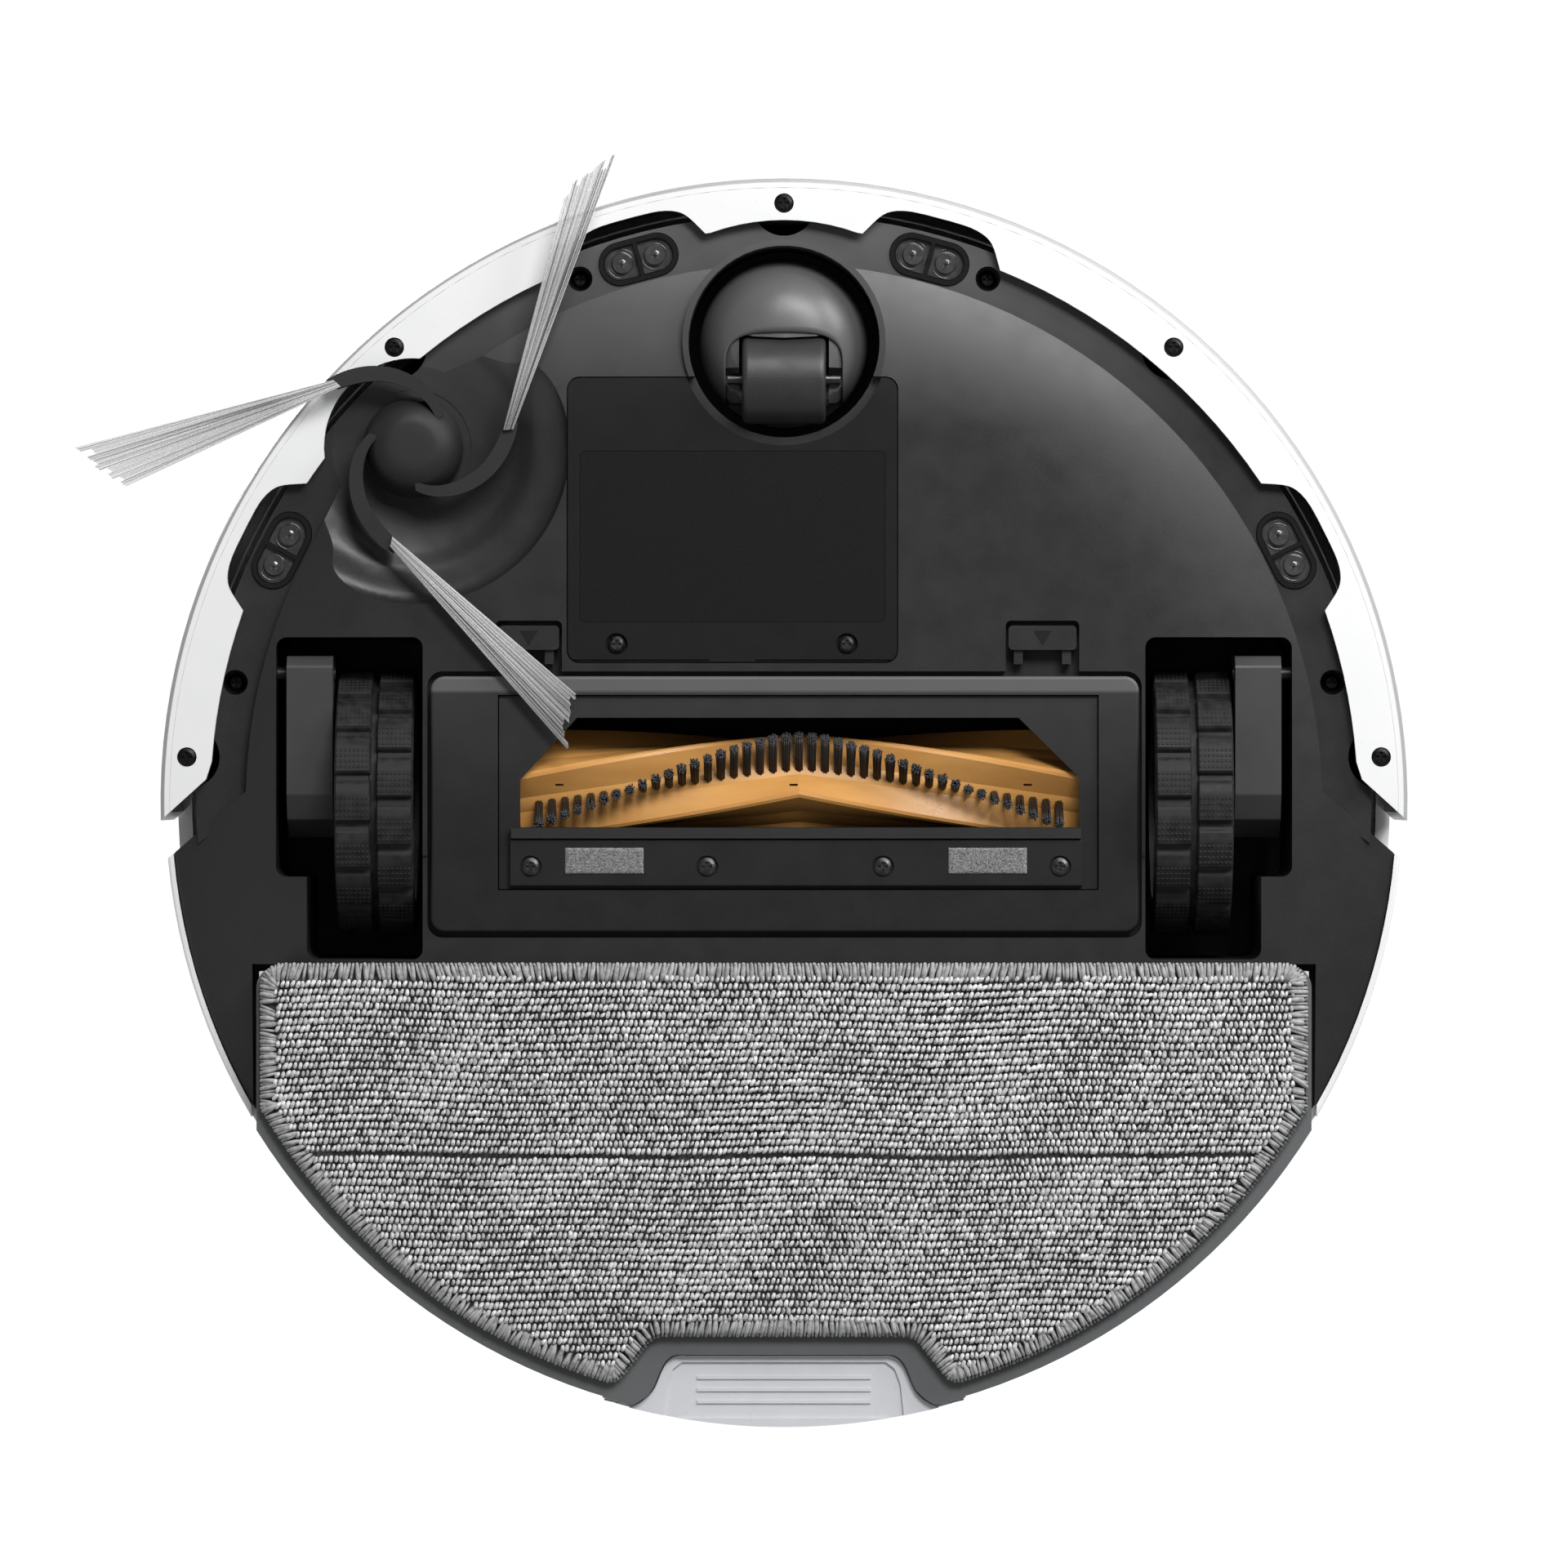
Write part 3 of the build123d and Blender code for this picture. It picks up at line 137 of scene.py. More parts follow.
def colour(value):
    r, g, b = (value, value, value) if isinstance(value, (int, float)) else value
    return (r, g, b, 1.0)


def moulded(name, dark, light, rough, grain=0.35, depth=0.02, smudge=0.08, **sockets):
    """Moulded plastic: fine spark-eroded grain, slow colour drift and faint handling marks."""
    f = Finish(name, rough, **sockets)
    fine = f.noise(grain, 3.0)
    slow = f.noise(38.0, 2.0)
    shade = f.mix(f.remap(fine, 0.3, 0.7, 0.0, 1.0), dark, light)
    f.paint(f.mix(f.remap(slow, 0.3, 0.7, 0.0, 0.35), shade, tuple(0.86 * c for c in colour(dark)[:3])))
    f.rough(f.remap(f.noise(9.0, 4.0), 0.3, 0.7, rough - smudge, rough + smudge))
    return f.bump(fine, depth)


def metal(name, tone, rough, grain=0.25, brushed=(1, 1, 1)):
    f = Finish(name, rough, 1.0)
    marks = f.noise(grain, 4.0, brushed)
    f.paint(f.mix(f.remap(marks, 0.3, 0.7, 0.0, 1.0), tuple(0.7 * t for t in tone), tone))
    f.rough(f.remap(f.noise(1.1, 3.0), 0.3, 0.7, rough - 0.1, rough + 0.12))
    return f.bump(marks, 0.01)


def underside(name, dark, light, rough, **sockets):
    """Charcoal underside plastic, with a painted highlight: paler toward the curved front edge, where it
    catches the light.
    """
    f = Finish(name, rough, **sockets)
    fine = f.noise(0.32, 3.0)
    shade = f.mix(f.remap(fine, 0.3, 0.7, 0.0, 1.0), dark, light)
    # painted highlight: the colour grows paler toward the curved front edge
    front_highlight_ramp = f.remap(f.height("Y"), -0.160, -0.105, 1.0, 0.0)
    painted_front_highlight = f.math("MULTIPLY", front_highlight_ramp, f.remap(f.noise(30.0, 3.0), 0.2, 0.8, 0.8, 1.0))
    f.paint(f.mix(painted_front_highlight, shade, 4.2 * light))
    f.rough(f.remap(f.noise(9.0, 4.0), 0.3, 0.7, rough - 0.04, rough + 0.05))
    return f.bump(fine, 0.014)


def brush_cover_black():
    """Brush cover plastic with a painted highlight: paler toward its front edge and most along its front
    strip, standing in for light caught by a front bevel.
    """
    f = Finish("brush_cover_black", 0.45, Specular_IOR_Level=0.3)
    fine = f.noise(0.32, 3.0)
    shade = f.mix(f.remap(fine, 0.3, 0.7, 0.0, 1.0), 0.009, 0.014)
    # painted highlight: paler toward the front edge and palest on the front strip
    front_highlight_ramp = f.remap(f.height("Y"), -0.034, 0.004, 1.0, 0.0)
    painted_strip_highlight = f.remap(f.height("Y"), -0.0314, -0.0304, 1.0, 0.0)
    f.paint(f.mix(painted_strip_highlight, f.mix(front_highlight_ramp, shade, 0.030), 0.10))
    f.rough(f.remap(f.noise(9.0, 4.0), 0.3, 0.7, 0.41, 0.50))
    return f.bump(fine, 0.014)


def label_film():
    f = Finish("label_film", 0.62, Specular_IOR_Level=0.12)
    fine = f.noise(0.4, 3.0)
    f.paint(f.mix(f.remap(fine, 0.35, 0.65, 0.0, 1.0), 0.006, 0.010))
    f.rough(f.remap(f.noise(6.0, 3.0), 0.3, 0.7, 0.56, 0.68))
    return f.bump(fine, 0.01)


def white_gloss(name="white_shell", rough=0.3):
    f = Finish(name, rough, Coat_Weight=0.25, Coat_Roughness=0.12)
    slow = f.noise(26.0, 2.0)
    white = f.mix(f.remap(slow, 0.3, 0.7, 0.0, 1.0), (0.785, 0.79, 0.795), (0.82, 0.82, 0.82))
    # painted shade: the rounded bottom edge is painted grey where it turns away from the light
    spread = f.node("VectorMath", {"Vector": f.place}, operation="MULTIPLY")
    spread.inputs[1].default_value = (1.0, 1.0, 0.0)
    radius = f.node("VectorMath", {"Vector": spread.outputs["Vector"]}, operation="LENGTH").outputs["Value"]
    edge = f.remap(radius, 0.1737, 0.1740, 0.0, 1.0)
    low = f.remap(f.height(), 0.0145, 0.0160, 1.0, 0.0)
    f.paint(f.mix(f.math("MULTIPLY", edge, low), white, 0.36))
    f.rough(f.remap(f.noise(14.0, 4.0), 0.3, 0.7, rough - 0.05, rough + 0.08))
    return f.bump(f.noise(1.2, 2.0), 0.006)


def elastomer():
    """Soft amber roller rubber, with faint mould flow and fine dust."""
    f = Finish("amber_roller", 0.36, Subsurface_Weight=0.12, Subsurface_Scale=0.002, Specular_IOR_Level=0.4)
    flow = f.noise(7.0, 3.0, (0.25, 1, 1))
    dust = f.noise(0.5, 4.0)
    base = f.mix(f.remap(flow, 0.3, 0.7, 0.0, 1.0), (0.52, 0.245, 0.062), (0.63, 0.32, 0.092))
    f.paint(f.mix(f.remap(dust, 0.62, 0.8, 0.0, 0.35), base, (0.72, 0.47, 0.22)))
    f.rough(f.remap(dust, 0.3, 0.7, 0.32, 0.46))
    return f.bump(dust, 0.012)


def frosted(name, tone, alpha, rough=0.32):
    """Frosted translucent plastic."""
    f = Finish(name, rough, Alpha=alpha, Coat_Weight=0.2, Coat_Roughness=0.2)
    slow = f.noise(11.0, 3.0)
    f.paint(f.mix(f.remap(slow, 0.3, 0.7, 0.0, 1.0), tuple(0.95 * t for t in tone), tone))
    f.rough(f.remap(f.noise(2.5, 3.0), 0.3, 0.7, rough - 0.06, rough + 0.08))
    return f.bump(f.noise(0.4, 2.0), 0.008)


def yarn(name, dark, light, drift=9.0):
    """Spun microfibre yarn: mottled tone, drifting in soft patches, with fine fibres."""
    f = Finish(name, 0.9, Sheen_Weight=0.35, Sheen_Roughness=0.5, Specular_IOR_Level=0.15)
    per_loop = f.noise(1.7, 2.0)
    patch = f.noise(drift, 3.0, (0.3, 1, 1))
    fibre = f.noise(0.22, 2.0, (1, 0.3, 1))
    tone = f.mix(f.remap(per_loop, 0.32, 0.62, 0.0, 1.0), dark, light)
    tone = f.mix(f.remap(patch, 0.35, 0.68, 0.0, 0.2), tone, tuple(0.62 * c for c in colour(dark)[:3]))
    f.paint(f.mix(f.remap(fibre, 0.4, 0.7, 0.0, 0.3), tone, light))
    return f.bump(fibre, 0.08)


def felt():
    f = Finish("grey_felt", 0.95, Sheen_Weight=0.3)
    speck = f.noise(0.45, 4.0)
    f.paint(f.mix(f.remap(speck, 0.35, 0.65, 0.0, 1.0), 0.09, 0.30))
    return f.bump(f.noise(0.3, 3.0), 0.15)


def tread():
    f = Finish("tyre", 0.62, Specular_IOR_Level=0.25)
    wear = f.noise(3.0, 4.0)
    f.paint(f.mix(f.remap(wear, 0.35, 0.7, 0.0, 1.0), 0.011, 0.024))
    f.rough(f.remap(wear, 0.3, 0.7, 0.5, 0.72))
    return f.bump(f.noise(0.4, 3.0), 0.03)


def nylon(name, tone, alpha, rough=0.32):
    f = Finish(name, rough, Alpha=alpha, Coat_Weight=0.1)
    streak = f.noise(0.6, 2.0)
    f.paint(f.mix(f.remap(streak, 0.3, 0.7, 0.0, 1.0), tuple(0.8 * t for t in tone), tone))
    return f.bump(streak, 0.01)


def lens():
    f = Finish("smoked_lens", 0.16, Coat_Weight=0.5, Coat_Roughness=0.08)
    f.paint(f.mix(f.remap(f.noise(2.5), 0.3, 0.7, 0.0, 1.0), 0.035, 0.06))
    return f.rough(f.remap(f.noise(4.0, 4.0), 0.3, 0.7, 0.12, 0.24))


def paper():
    f = Finish("filter_paper", 0.9)
    f.paint(f.mix(f.remap(f.noise(0.8, 4.0), 0.3, 0.7, 0.0, 1.0), (0.70, 0.70, 0.66), (0.86, 0.86, 0.82)))
    return f.bump(f.noise(0.4, 3.0), 0.05)


FINISHES = {
    "white_shell": white_gloss(),
    "underside_black": underside("underside_black", 0.013, 0.021, 0.40, Specular_IOR_Level=0.42),
    "gloss_black": moulded("gloss_black", 0.008, 0.012, 0.14, 0.6, 0.003, 0.05, Coat_Weight=0.5),
    "smoked_lens": lens(),
    "screw_steel": metal("screw_steel", (0.11, 0.11, 0.115), 0.38),
    "screw_black": metal("screw_black", (0.030, 0.030, 0.032), 0.42),
    "contact_metal": metal("contact_metal", (0.80, 0.79, 0.76), 0.24, 0.2, (0.1, 1, 1)),
    "blank_label": label_film(),
    "battery_wrap": moulded("battery_wrap", (0.03, 0.09, 0.26), (0.05, 0.13, 0.36), 0.3, 0.9, 0.01),
    "caster_black": moulded("caster_black", 0.092, 0.115, 0.36, 0.3, 0.008, 0.04),
    "caster_rubber": moulded("caster_rubber", 0.022, 0.034, 0.45, 0.4, 0.02, 0.08),
    "arm_rubber": moulded("arm_rubber", 0.013, 0.020, 0.55, 0.35, 0.01, 0.06, Specular_IOR_Level=0.35),
    "clear_bristle": nylon("clear_bristle", (0.84, 0.84, 0.85), 0.62),
    "motor_case": moulded("motor_case", 0.05, 0.08, 0.4),
    "grey_felt": felt(),
    "amber_roller": elastomer(),
    "black_bristle": nylon("black_bristle", (0.020, 0.013, 0.008), 1.0, 0.5),
    "board_grey": moulded("board_grey", (0.098, 0.104, 0.106), (0.125, 0.131, 0.133), 0.5, 0.3, 0.012),
    "mop_terry": yarn("mop_terry", 0.34, 0.82),
    "tank_clear": frosted("tank_clear", (0.72, 0.73, 0.76), 0.92),
    "tank_smoke": frosted("tank_smoke", (0.16, 0.16, 0.17), 0.85),
    "filter_paper": paper(),
    "button_grey": moulded("button_grey", 0.30, 0.36, 0.4, 0.4, 0.01),
    "board_green": moulded("board_green", (0.02, 0.12, 0.06), (0.03, 0.17, 0.08), 0.35, 0.5, 0.01),
    "arm_case": moulded("arm_case", 0.032, 0.044, 0.5, 0.3, 0.014, 0.05),
    "tyre": tread(),
}


def dress(node, material):
    mesh = NODES[node].data
    mesh.materials.clear()
    mesh.materials.append(material)


for part in frame["record"]["subparts"]:
    dress(part["node"], FINISHES[part["material_slot"]].material)

cover_black = moulded("cover_black", 0.0065, 0.0105, 0.5, 0.32, 0.014, 0.05, Specular_IOR_Level=0.18)
deep_black = moulded("deep_black", 0.004, 0.006, 0.6, 0.32, 0.014, 0.05, Specular_IOR_Level=0.25)
brush_black = brush_cover_black()
dress("battery_cover", cover_black.material)
for cover_node in ("brush_cover_frame", "scraper_bar", "brush_guard"):
    dress(cover_node, brush_black.material)
for hidden_node in ("mid_frame", "brush_chamber", "suction_duct", "lidar_rotor"):
    dress(hidden_node, deep_black.material)


# ---- Mesh helpers -------------------------------------------------------------------------------
def piece(name, vertices, faces, material, body, slot, smooth=True):
    """Mesh object from vertices in millimetres, riding on a CAD body."""
    mesh = bpy.data.meshes.new(name)
    mesh.from_pydata((np.asarray(vertices, float) * MM).tolist(), [], faces)
    mesh.validate()
    mesh.update()
    if smooth:
        mesh.shade_smooth()
    else:
        mesh.shade_flat()
    mesh.materials.append(material)
    obj = bpy.data.objects.new(name, mesh)
    bpy.context.scene.collection.objects.link(obj)
    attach(obj, body)
    return obj


def grid_faces(rows, columns, close_rows=False, close_columns=False, start=0):
    """Quads over a grid of rows x columns vertices, wrapping round where asked."""
    faces = []
    for i in range(rows if close_rows else rows - 1):
        below = start + i * columns
        above = start + ((i + 1) % rows) * columns
        for j in range(columns if close_columns else columns - 1):
            k = (j + 1) % columns
            faces.append((below + j, below + k, above + k, above + j))
    return faces


def tubes(paths, radii, sides):
    """Closed tubes along many paths of equal length: paths (n, rings, 3), radii (n, rings)."""
    paths, radii = np.asarray(paths, float), np.asarray(radii, float)
    count, rings = radii.shape
    along = np.gradient(paths, axis=1)
    along /= np.linalg.norm(along, axis=2, keepdims=True) + 1e-12
    helper = np.where(np.abs(along[..., 2:3]) > 0.9, np.array([1.0, 0, 0]), np.array([0, 0, 1.0]))
    side = np.cross(along, helper)
    side /= np.linalg.norm(side, axis=2, keepdims=True) + 1e-12
    other = np.cross(side, along)
    turn = np.linspace(0, 2 * pi, sides, endpoint=False)
    spokes = side[:, :, None] * np.cos(turn)[:, None] + other[:, :, None] * np.sin(turn)[:, None]
    vertices = (paths[:, :, None] + spokes * radii[:, :, None, None]).reshape(-1, 3)
    faces = []
    for n in range(count):
        start = n * rings * sides
        faces += grid_faces(rings, sides, close_columns=True, start=start)
        faces.append(tuple(range(start + sides - 1, start - 1, -1)))
        faces.append(tuple(range(start + (rings - 1) * sides, start + rings * sides)))
    return vertices, faces


def joined(*parts):
    """One (vertices, faces) pair from several."""
    vertices, faces, start = [], [], 0
    for v, f in parts:
        vertices.append(np.asarray(v, float))
        faces += [tuple(i + start for i in face) for face in f]
        start += len(v)
    return np.concatenate(vertices), faces


def corner_box(node):
    """Lowest and highest corner of a CAD node, in millimetres."""
    low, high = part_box(node)
    return np.array(low) / MM, np.array(high) / MM


# ---- Mop cloth ----------------------------------------------------------------------------------
CLOTH_LOW, CLOTH_HIGH = corner_box("mop_cloth")
CLOTH_HALF, CLOTH_FRONT = CLOTH_HIGH[0], CLOTH_LOW[1]
CLOTH_R = 169.6
NOTCH_TOP, NOTCH_INNER, NOTCH_OUTER, NOTCH_END = 149.4, 36.2, 46.8, 162.9
BORDER = 5.0
CREASE_Y, CREASE = 99.2, 0.9


def rounded_path(corners, step=1.1):
    """Closed outline through (x, y, radius) corners, sampled about every step."""
    points = []
    count = len(corners)
    for i, (x, y, radius) in enumerate(corners):
        here = np.array([x, y], float)
        before = np.array(corners[i - 1][:2], float) - here
        after = np.array(corners[(i + 1) % count][:2], float) - here
        before /= np.linalg.norm(before)
        after /= np.linalg.norm(after)
        if not radius:
            points.append(here)
            continue
        half = 0.5 * np.arccos(np.clip(before @ after, -1, 1))
        reach = radius / np.tan(half)
        middle = here + (before + after) / np.linalg.norm(before + after) * radius / sin(half)
        first, last = here + before * reach - middle, here + after * reach - middle
        a, b = atan2(first[1], first[0]), atan2(last[1], last[0])
        sweep = (b - a + pi) % (2 * pi) - pi
        for t in np.linspace(0, 1, max(3, int(abs(sweep) * radius / step) + 2)):
            points.append(middle + radius * np.array([cos(a + sweep * t), sin(a + sweep * t)]))
    points = np.array(points)
    lengths = np.linalg.norm(np.roll(points, -1, 0) - points, axis=1)
    total = lengths.sum()
    marks = np.linspace(0, total, int(total / step), endpoint=False)
    at_vertex = np.concatenate([[0], np.cumsum(lengths)])
    closed = np.vstack([points, points[:1]])
    return np.column_stack([np.interp(marks, at_vertex, closed[:, k]) for k in (0, 1)])


def cloth_outline():
    """Edge of the mop cloth, anticlockwise seen from above."""
    side_y = sqrt(CLOTH_R**2 - CLOTH_HALF**2)
    corners = [(-CLOTH_HALF, CLOTH_FRONT, 6.5), (CLOTH_HALF, CLOTH_FRONT, 6.5)]
    start, end = atan2(side_y, CLOTH_HALF), atan2(NOTCH_END, NOTCH_OUTER)
    rim = [(CLOTH_R * cos(a), CLOTH_R * sin(a), 0) for a in np.linspace(start, end, 60)]
    notch = [(NOTCH_INNER, NOTCH_TOP, 6.0)]
    right = rim[:-4] + [rim[-1][:2] + (5.0,)] + notch
    left = [(-x, y, r) for x, y, r in reversed(right)]
    return rounded_path(corners + right + left)


def inside(outline, points):
    """Which points lie inside a closed outline, and how far from it every point is."""
    x, y = points[:, :1], points[:, 1:]
    x0, y0 = outline[:, 0], outline[:, 1]
    x1, y1 = np.roll(x0, -1), np.roll(y0, -1)
    spans = (y0 > y) != (y1 > y)
    rise = np.where(np.abs(y1 - y0) < 1e-9, 1e-9, y1 - y0)
    crossings = (spans & (x < (x1 - x0) * (y - y0) / rise + x0)).sum(1)
    gap = np.sqrt(((x - x0) ** 2 + (y - y0) ** 2).min(1))
    return crossings % 2 == 1, gap


def wave(x, y, seed, scale):
    """Smooth, repeatable wandering between about -1 and 1."""
    rng = np.random.default_rng(seed)
    total = 0.0
    for _ in range(5):
        a, b = rng.normal(0, 1, 2) / scale
        total = total + np.sin(a * x + b * y + rng.uniform(0, 2 * pi))
    return total / 2.4


def mop():
    outline = cloth_outline()
    inward = np.roll(outline, 1, 0) - np.roll(outline, -1, 0)
    inward = np.column_stack([inward[:, 1], -inward[:, 0]])
    inward /= np.linalg.norm(inward, axis=1, keepdims=True)

    # ground cloth, rolled up at the edge into the hem
    rings = [(0.7, 3.6), (0.35, 2.7), (0.7, 1.9), (2.0, 1.8), (3.0, 2.1)]
    layers = [np.column_stack([outline + inward * d, np.full(len(outline), z)]) for d, z in rings]
    ground = np.concatenate(layers)
    faces = grid_faces(len(rings), len(outline), close_columns=True)
    last = (len(rings) - 1) * len(outline)
    faces.append(tuple(range(last, last + len(outline))))
    terry = FINISHES["mop_terry"].material
    # painted shade: the ground cloth is near-black so the gaps between loops read as shaded
    dark = yarn("mop_ground_painted_shade", 0.035, 0.09)
    cloth = piece("mop_cloth_ground", ground, faces, dark.material, "mop_module", "mop_terry")

    # terry loops in wandering rows
    rng = np.random.default_rng(SEED)
    row_pitch, loop_pitch = 2.08, 1.42
    spots = []
    y = CLOTH_FRONT + BORDER - 0.6
    crease_done = False
    row = 0
    while y < CLOTH_R:
        if not crease_done and y > CREASE_Y:
            y, crease_done = y + CREASE, True
        xs = np.arange(-CLOTH_HALF, CLOTH_HALF, loop_pitch) + loop_pitch * 0.5 * (row % 2)
        spots.append(np.column_stack([xs, np.full(len(xs), y)]))
        y += row_pitch * (1 + 0.05 * sin(row * 1.7))
        row += 1
    spots = np.concatenate(spots)
    spots[:, 1] += 0.55 * wave(spots[:, 0], spots[:, 1], 3, 34.0)
    spots += rng.normal(0, 0.09, spots.shape)
    keep, gap = inside(outline, spots)
    spots = spots[keep & (gap > BORDER - 0.7)]
    count = len(spots)
    lean = radians(20) + 0.14 * wave(spots[:, 0], spots[:, 1], 5, 16.0) + rng.normal(0, 0.17, count)
    swell = 1.0 + 0.06 * wave(spots[:, 0], spots[:, 1], 8, 11.0) + rng.normal(0, 0.1, count)
    profile = np.array([(0.95, 2.2), (0.62, 1.05), (0.05, 0.52), (-0.62, 0.72), (-1.05, 1.9)])
    radius = np.array([0.30, 0.52, 0.60, 0.55, 0.26])
    paths = np.zeros((count, 5, 3))
    reach = 0.9 * profile[:, 0][None, :] * swell[:, None]
    paths[:, :, 0] = spots[:, :1] + reach * np.sin(lean)[:, None]
    paths[:, :, 1] = spots[:, 1:] - reach * np.cos(lean)[:, None]
    paths[:, :, 2] = profile[:, 1] + rng.normal(0, 0.1, (count, 1))
    paths[:, :, 2] = np.maximum(paths[:, :, 2], 0.62)
    radii = radius[None, :] * (swell * rng.uniform(0.86, 1.1, count))[:, None]
    radii = np.minimum(radii, paths[:, :, 2] - 0.03)
    loops = piece("mop_cloth_loops", *tubes(paths, radii, 6), terry, "mop_module", "mop_terry")

    # overlocked hem: threads laid side by side across the edge
    steps = len(outline)
    phase = np.arange(steps)
    slant = 0.5 * wave(outline[:, 0], outline[:, 1], 9, 12.0) + rng.normal(0, 0.22, steps)
    length = BORDER + 0.3 * wave(outline[:, 0], outline[:, 1], 4, 9.0) + rng.normal(0, 0.25, steps)
    along = np.column_stack([-inward[:, 1], inward[:, 0]])
    across = np.array([-0.02, -0.05, 0.18, 0.45, 0.75, 1.0])
    height = np.array([3.1, 2.1, 1.05, 0.85, 0.95, 1.5])
    thread = np.zeros((steps, 6, 3))
    for k in range(6):
        shift = along * (slant * across[k] * 2.2)[:, None]
        thread[:, k, :2] = outline + inward * (0.55 + across[k] * (length - 0.55))[:, None] + shift
        thread[:, k, 2] = height[k] + 0.1 * np.sin(phase * 2.4)
    girth = np.array([0.3, 0.5, 0.62, 0.66, 0.62, 0.4])
    proud = np.where(phase % 2 == 0, 1.0, 0.62)
    thread[:, 2:5, 2] += 0.5 * (1.0 - proud)[:, None]
    radii = girth[None, :] * (proud * rng.uniform(0.88, 1.12, steps))[:, None]
    hem_yarn = yarn("mop_hem_yarn", 0.22, 0.46, 9.0)
    hem = piece("mop_cloth_hem", *tubes(thread, radii, 6), hem_yarn.material, "mop_module", "mop_terry")

    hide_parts("mop_cloth")


mop()


# ---- Side brush bristles ------------------------------------------------------------------------
SWEEP_X, SWEEP_Y = -104.1, -99.5
# per bundle: bearing of its root, then radius and bearing of the long and the short corner of its
# tips, all anticlockwise from +X as seen from below
SWEEP_BUNDLES = (
    (12.7, 101.3, 55.3, 85.0, 59.2),
    (142.5, 94.9, 180.3, 82.5, 188.4),
    (260.3, 95.9, 297.2, 83.5, 303.6),
)


def around_sweep(radius, angle):
    return np.array([SWEEP_X + radius * cos(radians(angle)), SWEEP_Y - radius * sin(radians(angle))])


def side_brush():
    rng = np.random.default_rng(SEED + 1)
    tones = {
        "bristle_light": nylon("bristle_light", (0.90, 0.90, 0.91), 0.42),
        "bristle_mid": nylon("bristle_mid", (0.62, 0.62, 0.63), 0.38),
        "bristle_dark": nylon("bristle_dark", (0.17, 0.17, 0.18), 0.5),
    }
    groups = {name: ([], []) for name in tones}
    per_bundle, clumps = 70, 9
    for root, long_r, long_a, short_r, short_a in SWEEP_BUNDLES:
        root_in, root_out = around_sweep(26.9, root + 1.2), around_sweep(30.0, root + 0.8)
        tip_long, tip_short = around_sweep(long_r, long_a), around_sweep(short_r, short_a)
        steps = rng.uniform(0.0, 0.055, clumps)
        for i in range(per_bundle):
            share = (i + rng.uniform(0.2, 0.8)) / per_bundle
            start = root_in * share + root_out * (1 - share)
            end = tip_long * (1 - share) + tip_short * share
            end = end + (start - end) * (steps[int(share * clumps)] + rng.uniform(0, 0.006))
            z0, z1 = rng.uniform(4.7, 5.7), rng.uniform(4.6, 5.7)
            line = [np.append(start + (end - start) * t, z0 + (z1 - z0) * t) for t in (-0.03, 0.25, 0.6, 1.0)]
            pick = rng.choice(list(tones), p=[0.58, 0.30, 0.12])
            groups[pick][0].append(line)
            width = rng.uniform(0.13, 0.19)
            groups[pick][1].append([width * 0.6, width, width, width * 0.7])
    for name, (paths, radii) in groups.items():
        solid = tubes(paths, radii, 5)
        piece("side_" + name, *solid, tones[name].material, "side_brush", "clear_bristle")
    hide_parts("side_brush_bristles")


side_brush()


# ---- Main brush ---------------------------------------------------------------------------------
ROLLER_LOW, ROLLER_HIGH = corner_box("brush_core")
ROLLER_X0, ROLLER_X1 = ROLLER_LOW[0], ROLLER_HIGH[0]
ROLLER_Y, ROLLER_Z = -3.9, 27.0
CORE_R, TUFT_R = 12.0, 20.2
V_FRONT, V_TWIST = -30.0, 57.0
TIP_FRONT, TIP_TWIST = -57.0, 99.0
TUFTS, TUFT_PITCH = 41, 3.65


def on_roller(x, radius, turn):
    """Point on the roller: turn is in degrees from straight down, positive to the rear."""
    a = radians(turn)
    return np.array([x, ROLLER_Y + radius * sin(a), ROLLER_Z - radius * cos(a)])


def main_brush():
    rng = np.random.default_rng(SEED + 2)
    middle = (ROLLER_X0 + ROLLER_X1) / 2
    paths, radii = [], []
    knobs, knob_radii = [], []
    for i in range(TUFTS):
        x = middle + TUFT_PITCH * (i - (TUFTS - 1) / 2)
        out = sqrt((x - middle) ** 2 + 6.0**2) / (ROLLER_X1 - middle)
        for k in range(34):
            spread = sqrt((k + 0.5) / 34)
            angle = 2.399963 * k
            dx, dt = spread * cos(angle), spread * sin(angle)
            length = TUFT_R - rng.uniform(0.0, 0.55) - 0.35 * spread**2
            swing = rng.normal(0, 0.14, 2)
            line = []
            for share in (0.0, 0.45, 0.8, 1.0):
                radius = CORE_R - 0.4 + (length - CORE_R + 0.4) * share
                width = 1.12 + 0.26 * share**2
                turn = (V_FRONT + V_TWIST * out) * (1 - share) + (TIP_FRONT + TIP_TWIST * out) * share
                arc = (dt * width + swing[1] * share**2) / radius * 180 / pi
                line.append(on_roller(x + dx * width + swing[0] * share**2, radius, turn + arc))
            paths.append(line)
            radii.append([0.165, 0.165, 0.165, 0.155])
            tip = line[-1]
            knobs.append([line[-2] * 0.25 + tip * 0.75, tip, tip * 1.12 - line[-2] * 0.12])
            knob_radii.append([0.15, 0.29, 0.13])
    solid = tubes(paths, radii, 5)
    tuft_nylon = FINISHES["black_bristle"].material
    tufts = piece("main_brush_tufts", *solid, tuft_nylon, "main_brush", "black_bristle")
    tip_nylon = nylon("bristle_tips", (0.045, 0.046, 0.05), 1.0, 0.5)
    knobs = tubes(knobs, knob_radii, 5)
    piece("main_brush_tips", *knobs, tip_nylon.material, "main_brush", "black_bristle")
    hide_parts("brush_bristles")


main_brush()


# ---- Drive wheel tyres --------------------------------------------------------------------------
WHEEL_R, ROOT_R, BORE_R = 37.5, 35.1, 30.6
BLOCKS = 17
BLOCK_SHAPE = ((0.0, 0.25), (0.05, 0.3), (0.12, 0.72), (0.3, 0.97), (0.36, 1.0), (0.86, 1.0))
BLOCK_SHAPE += ((0.89, 0.9), (0.905, 0.2), (1.0, 0.25))


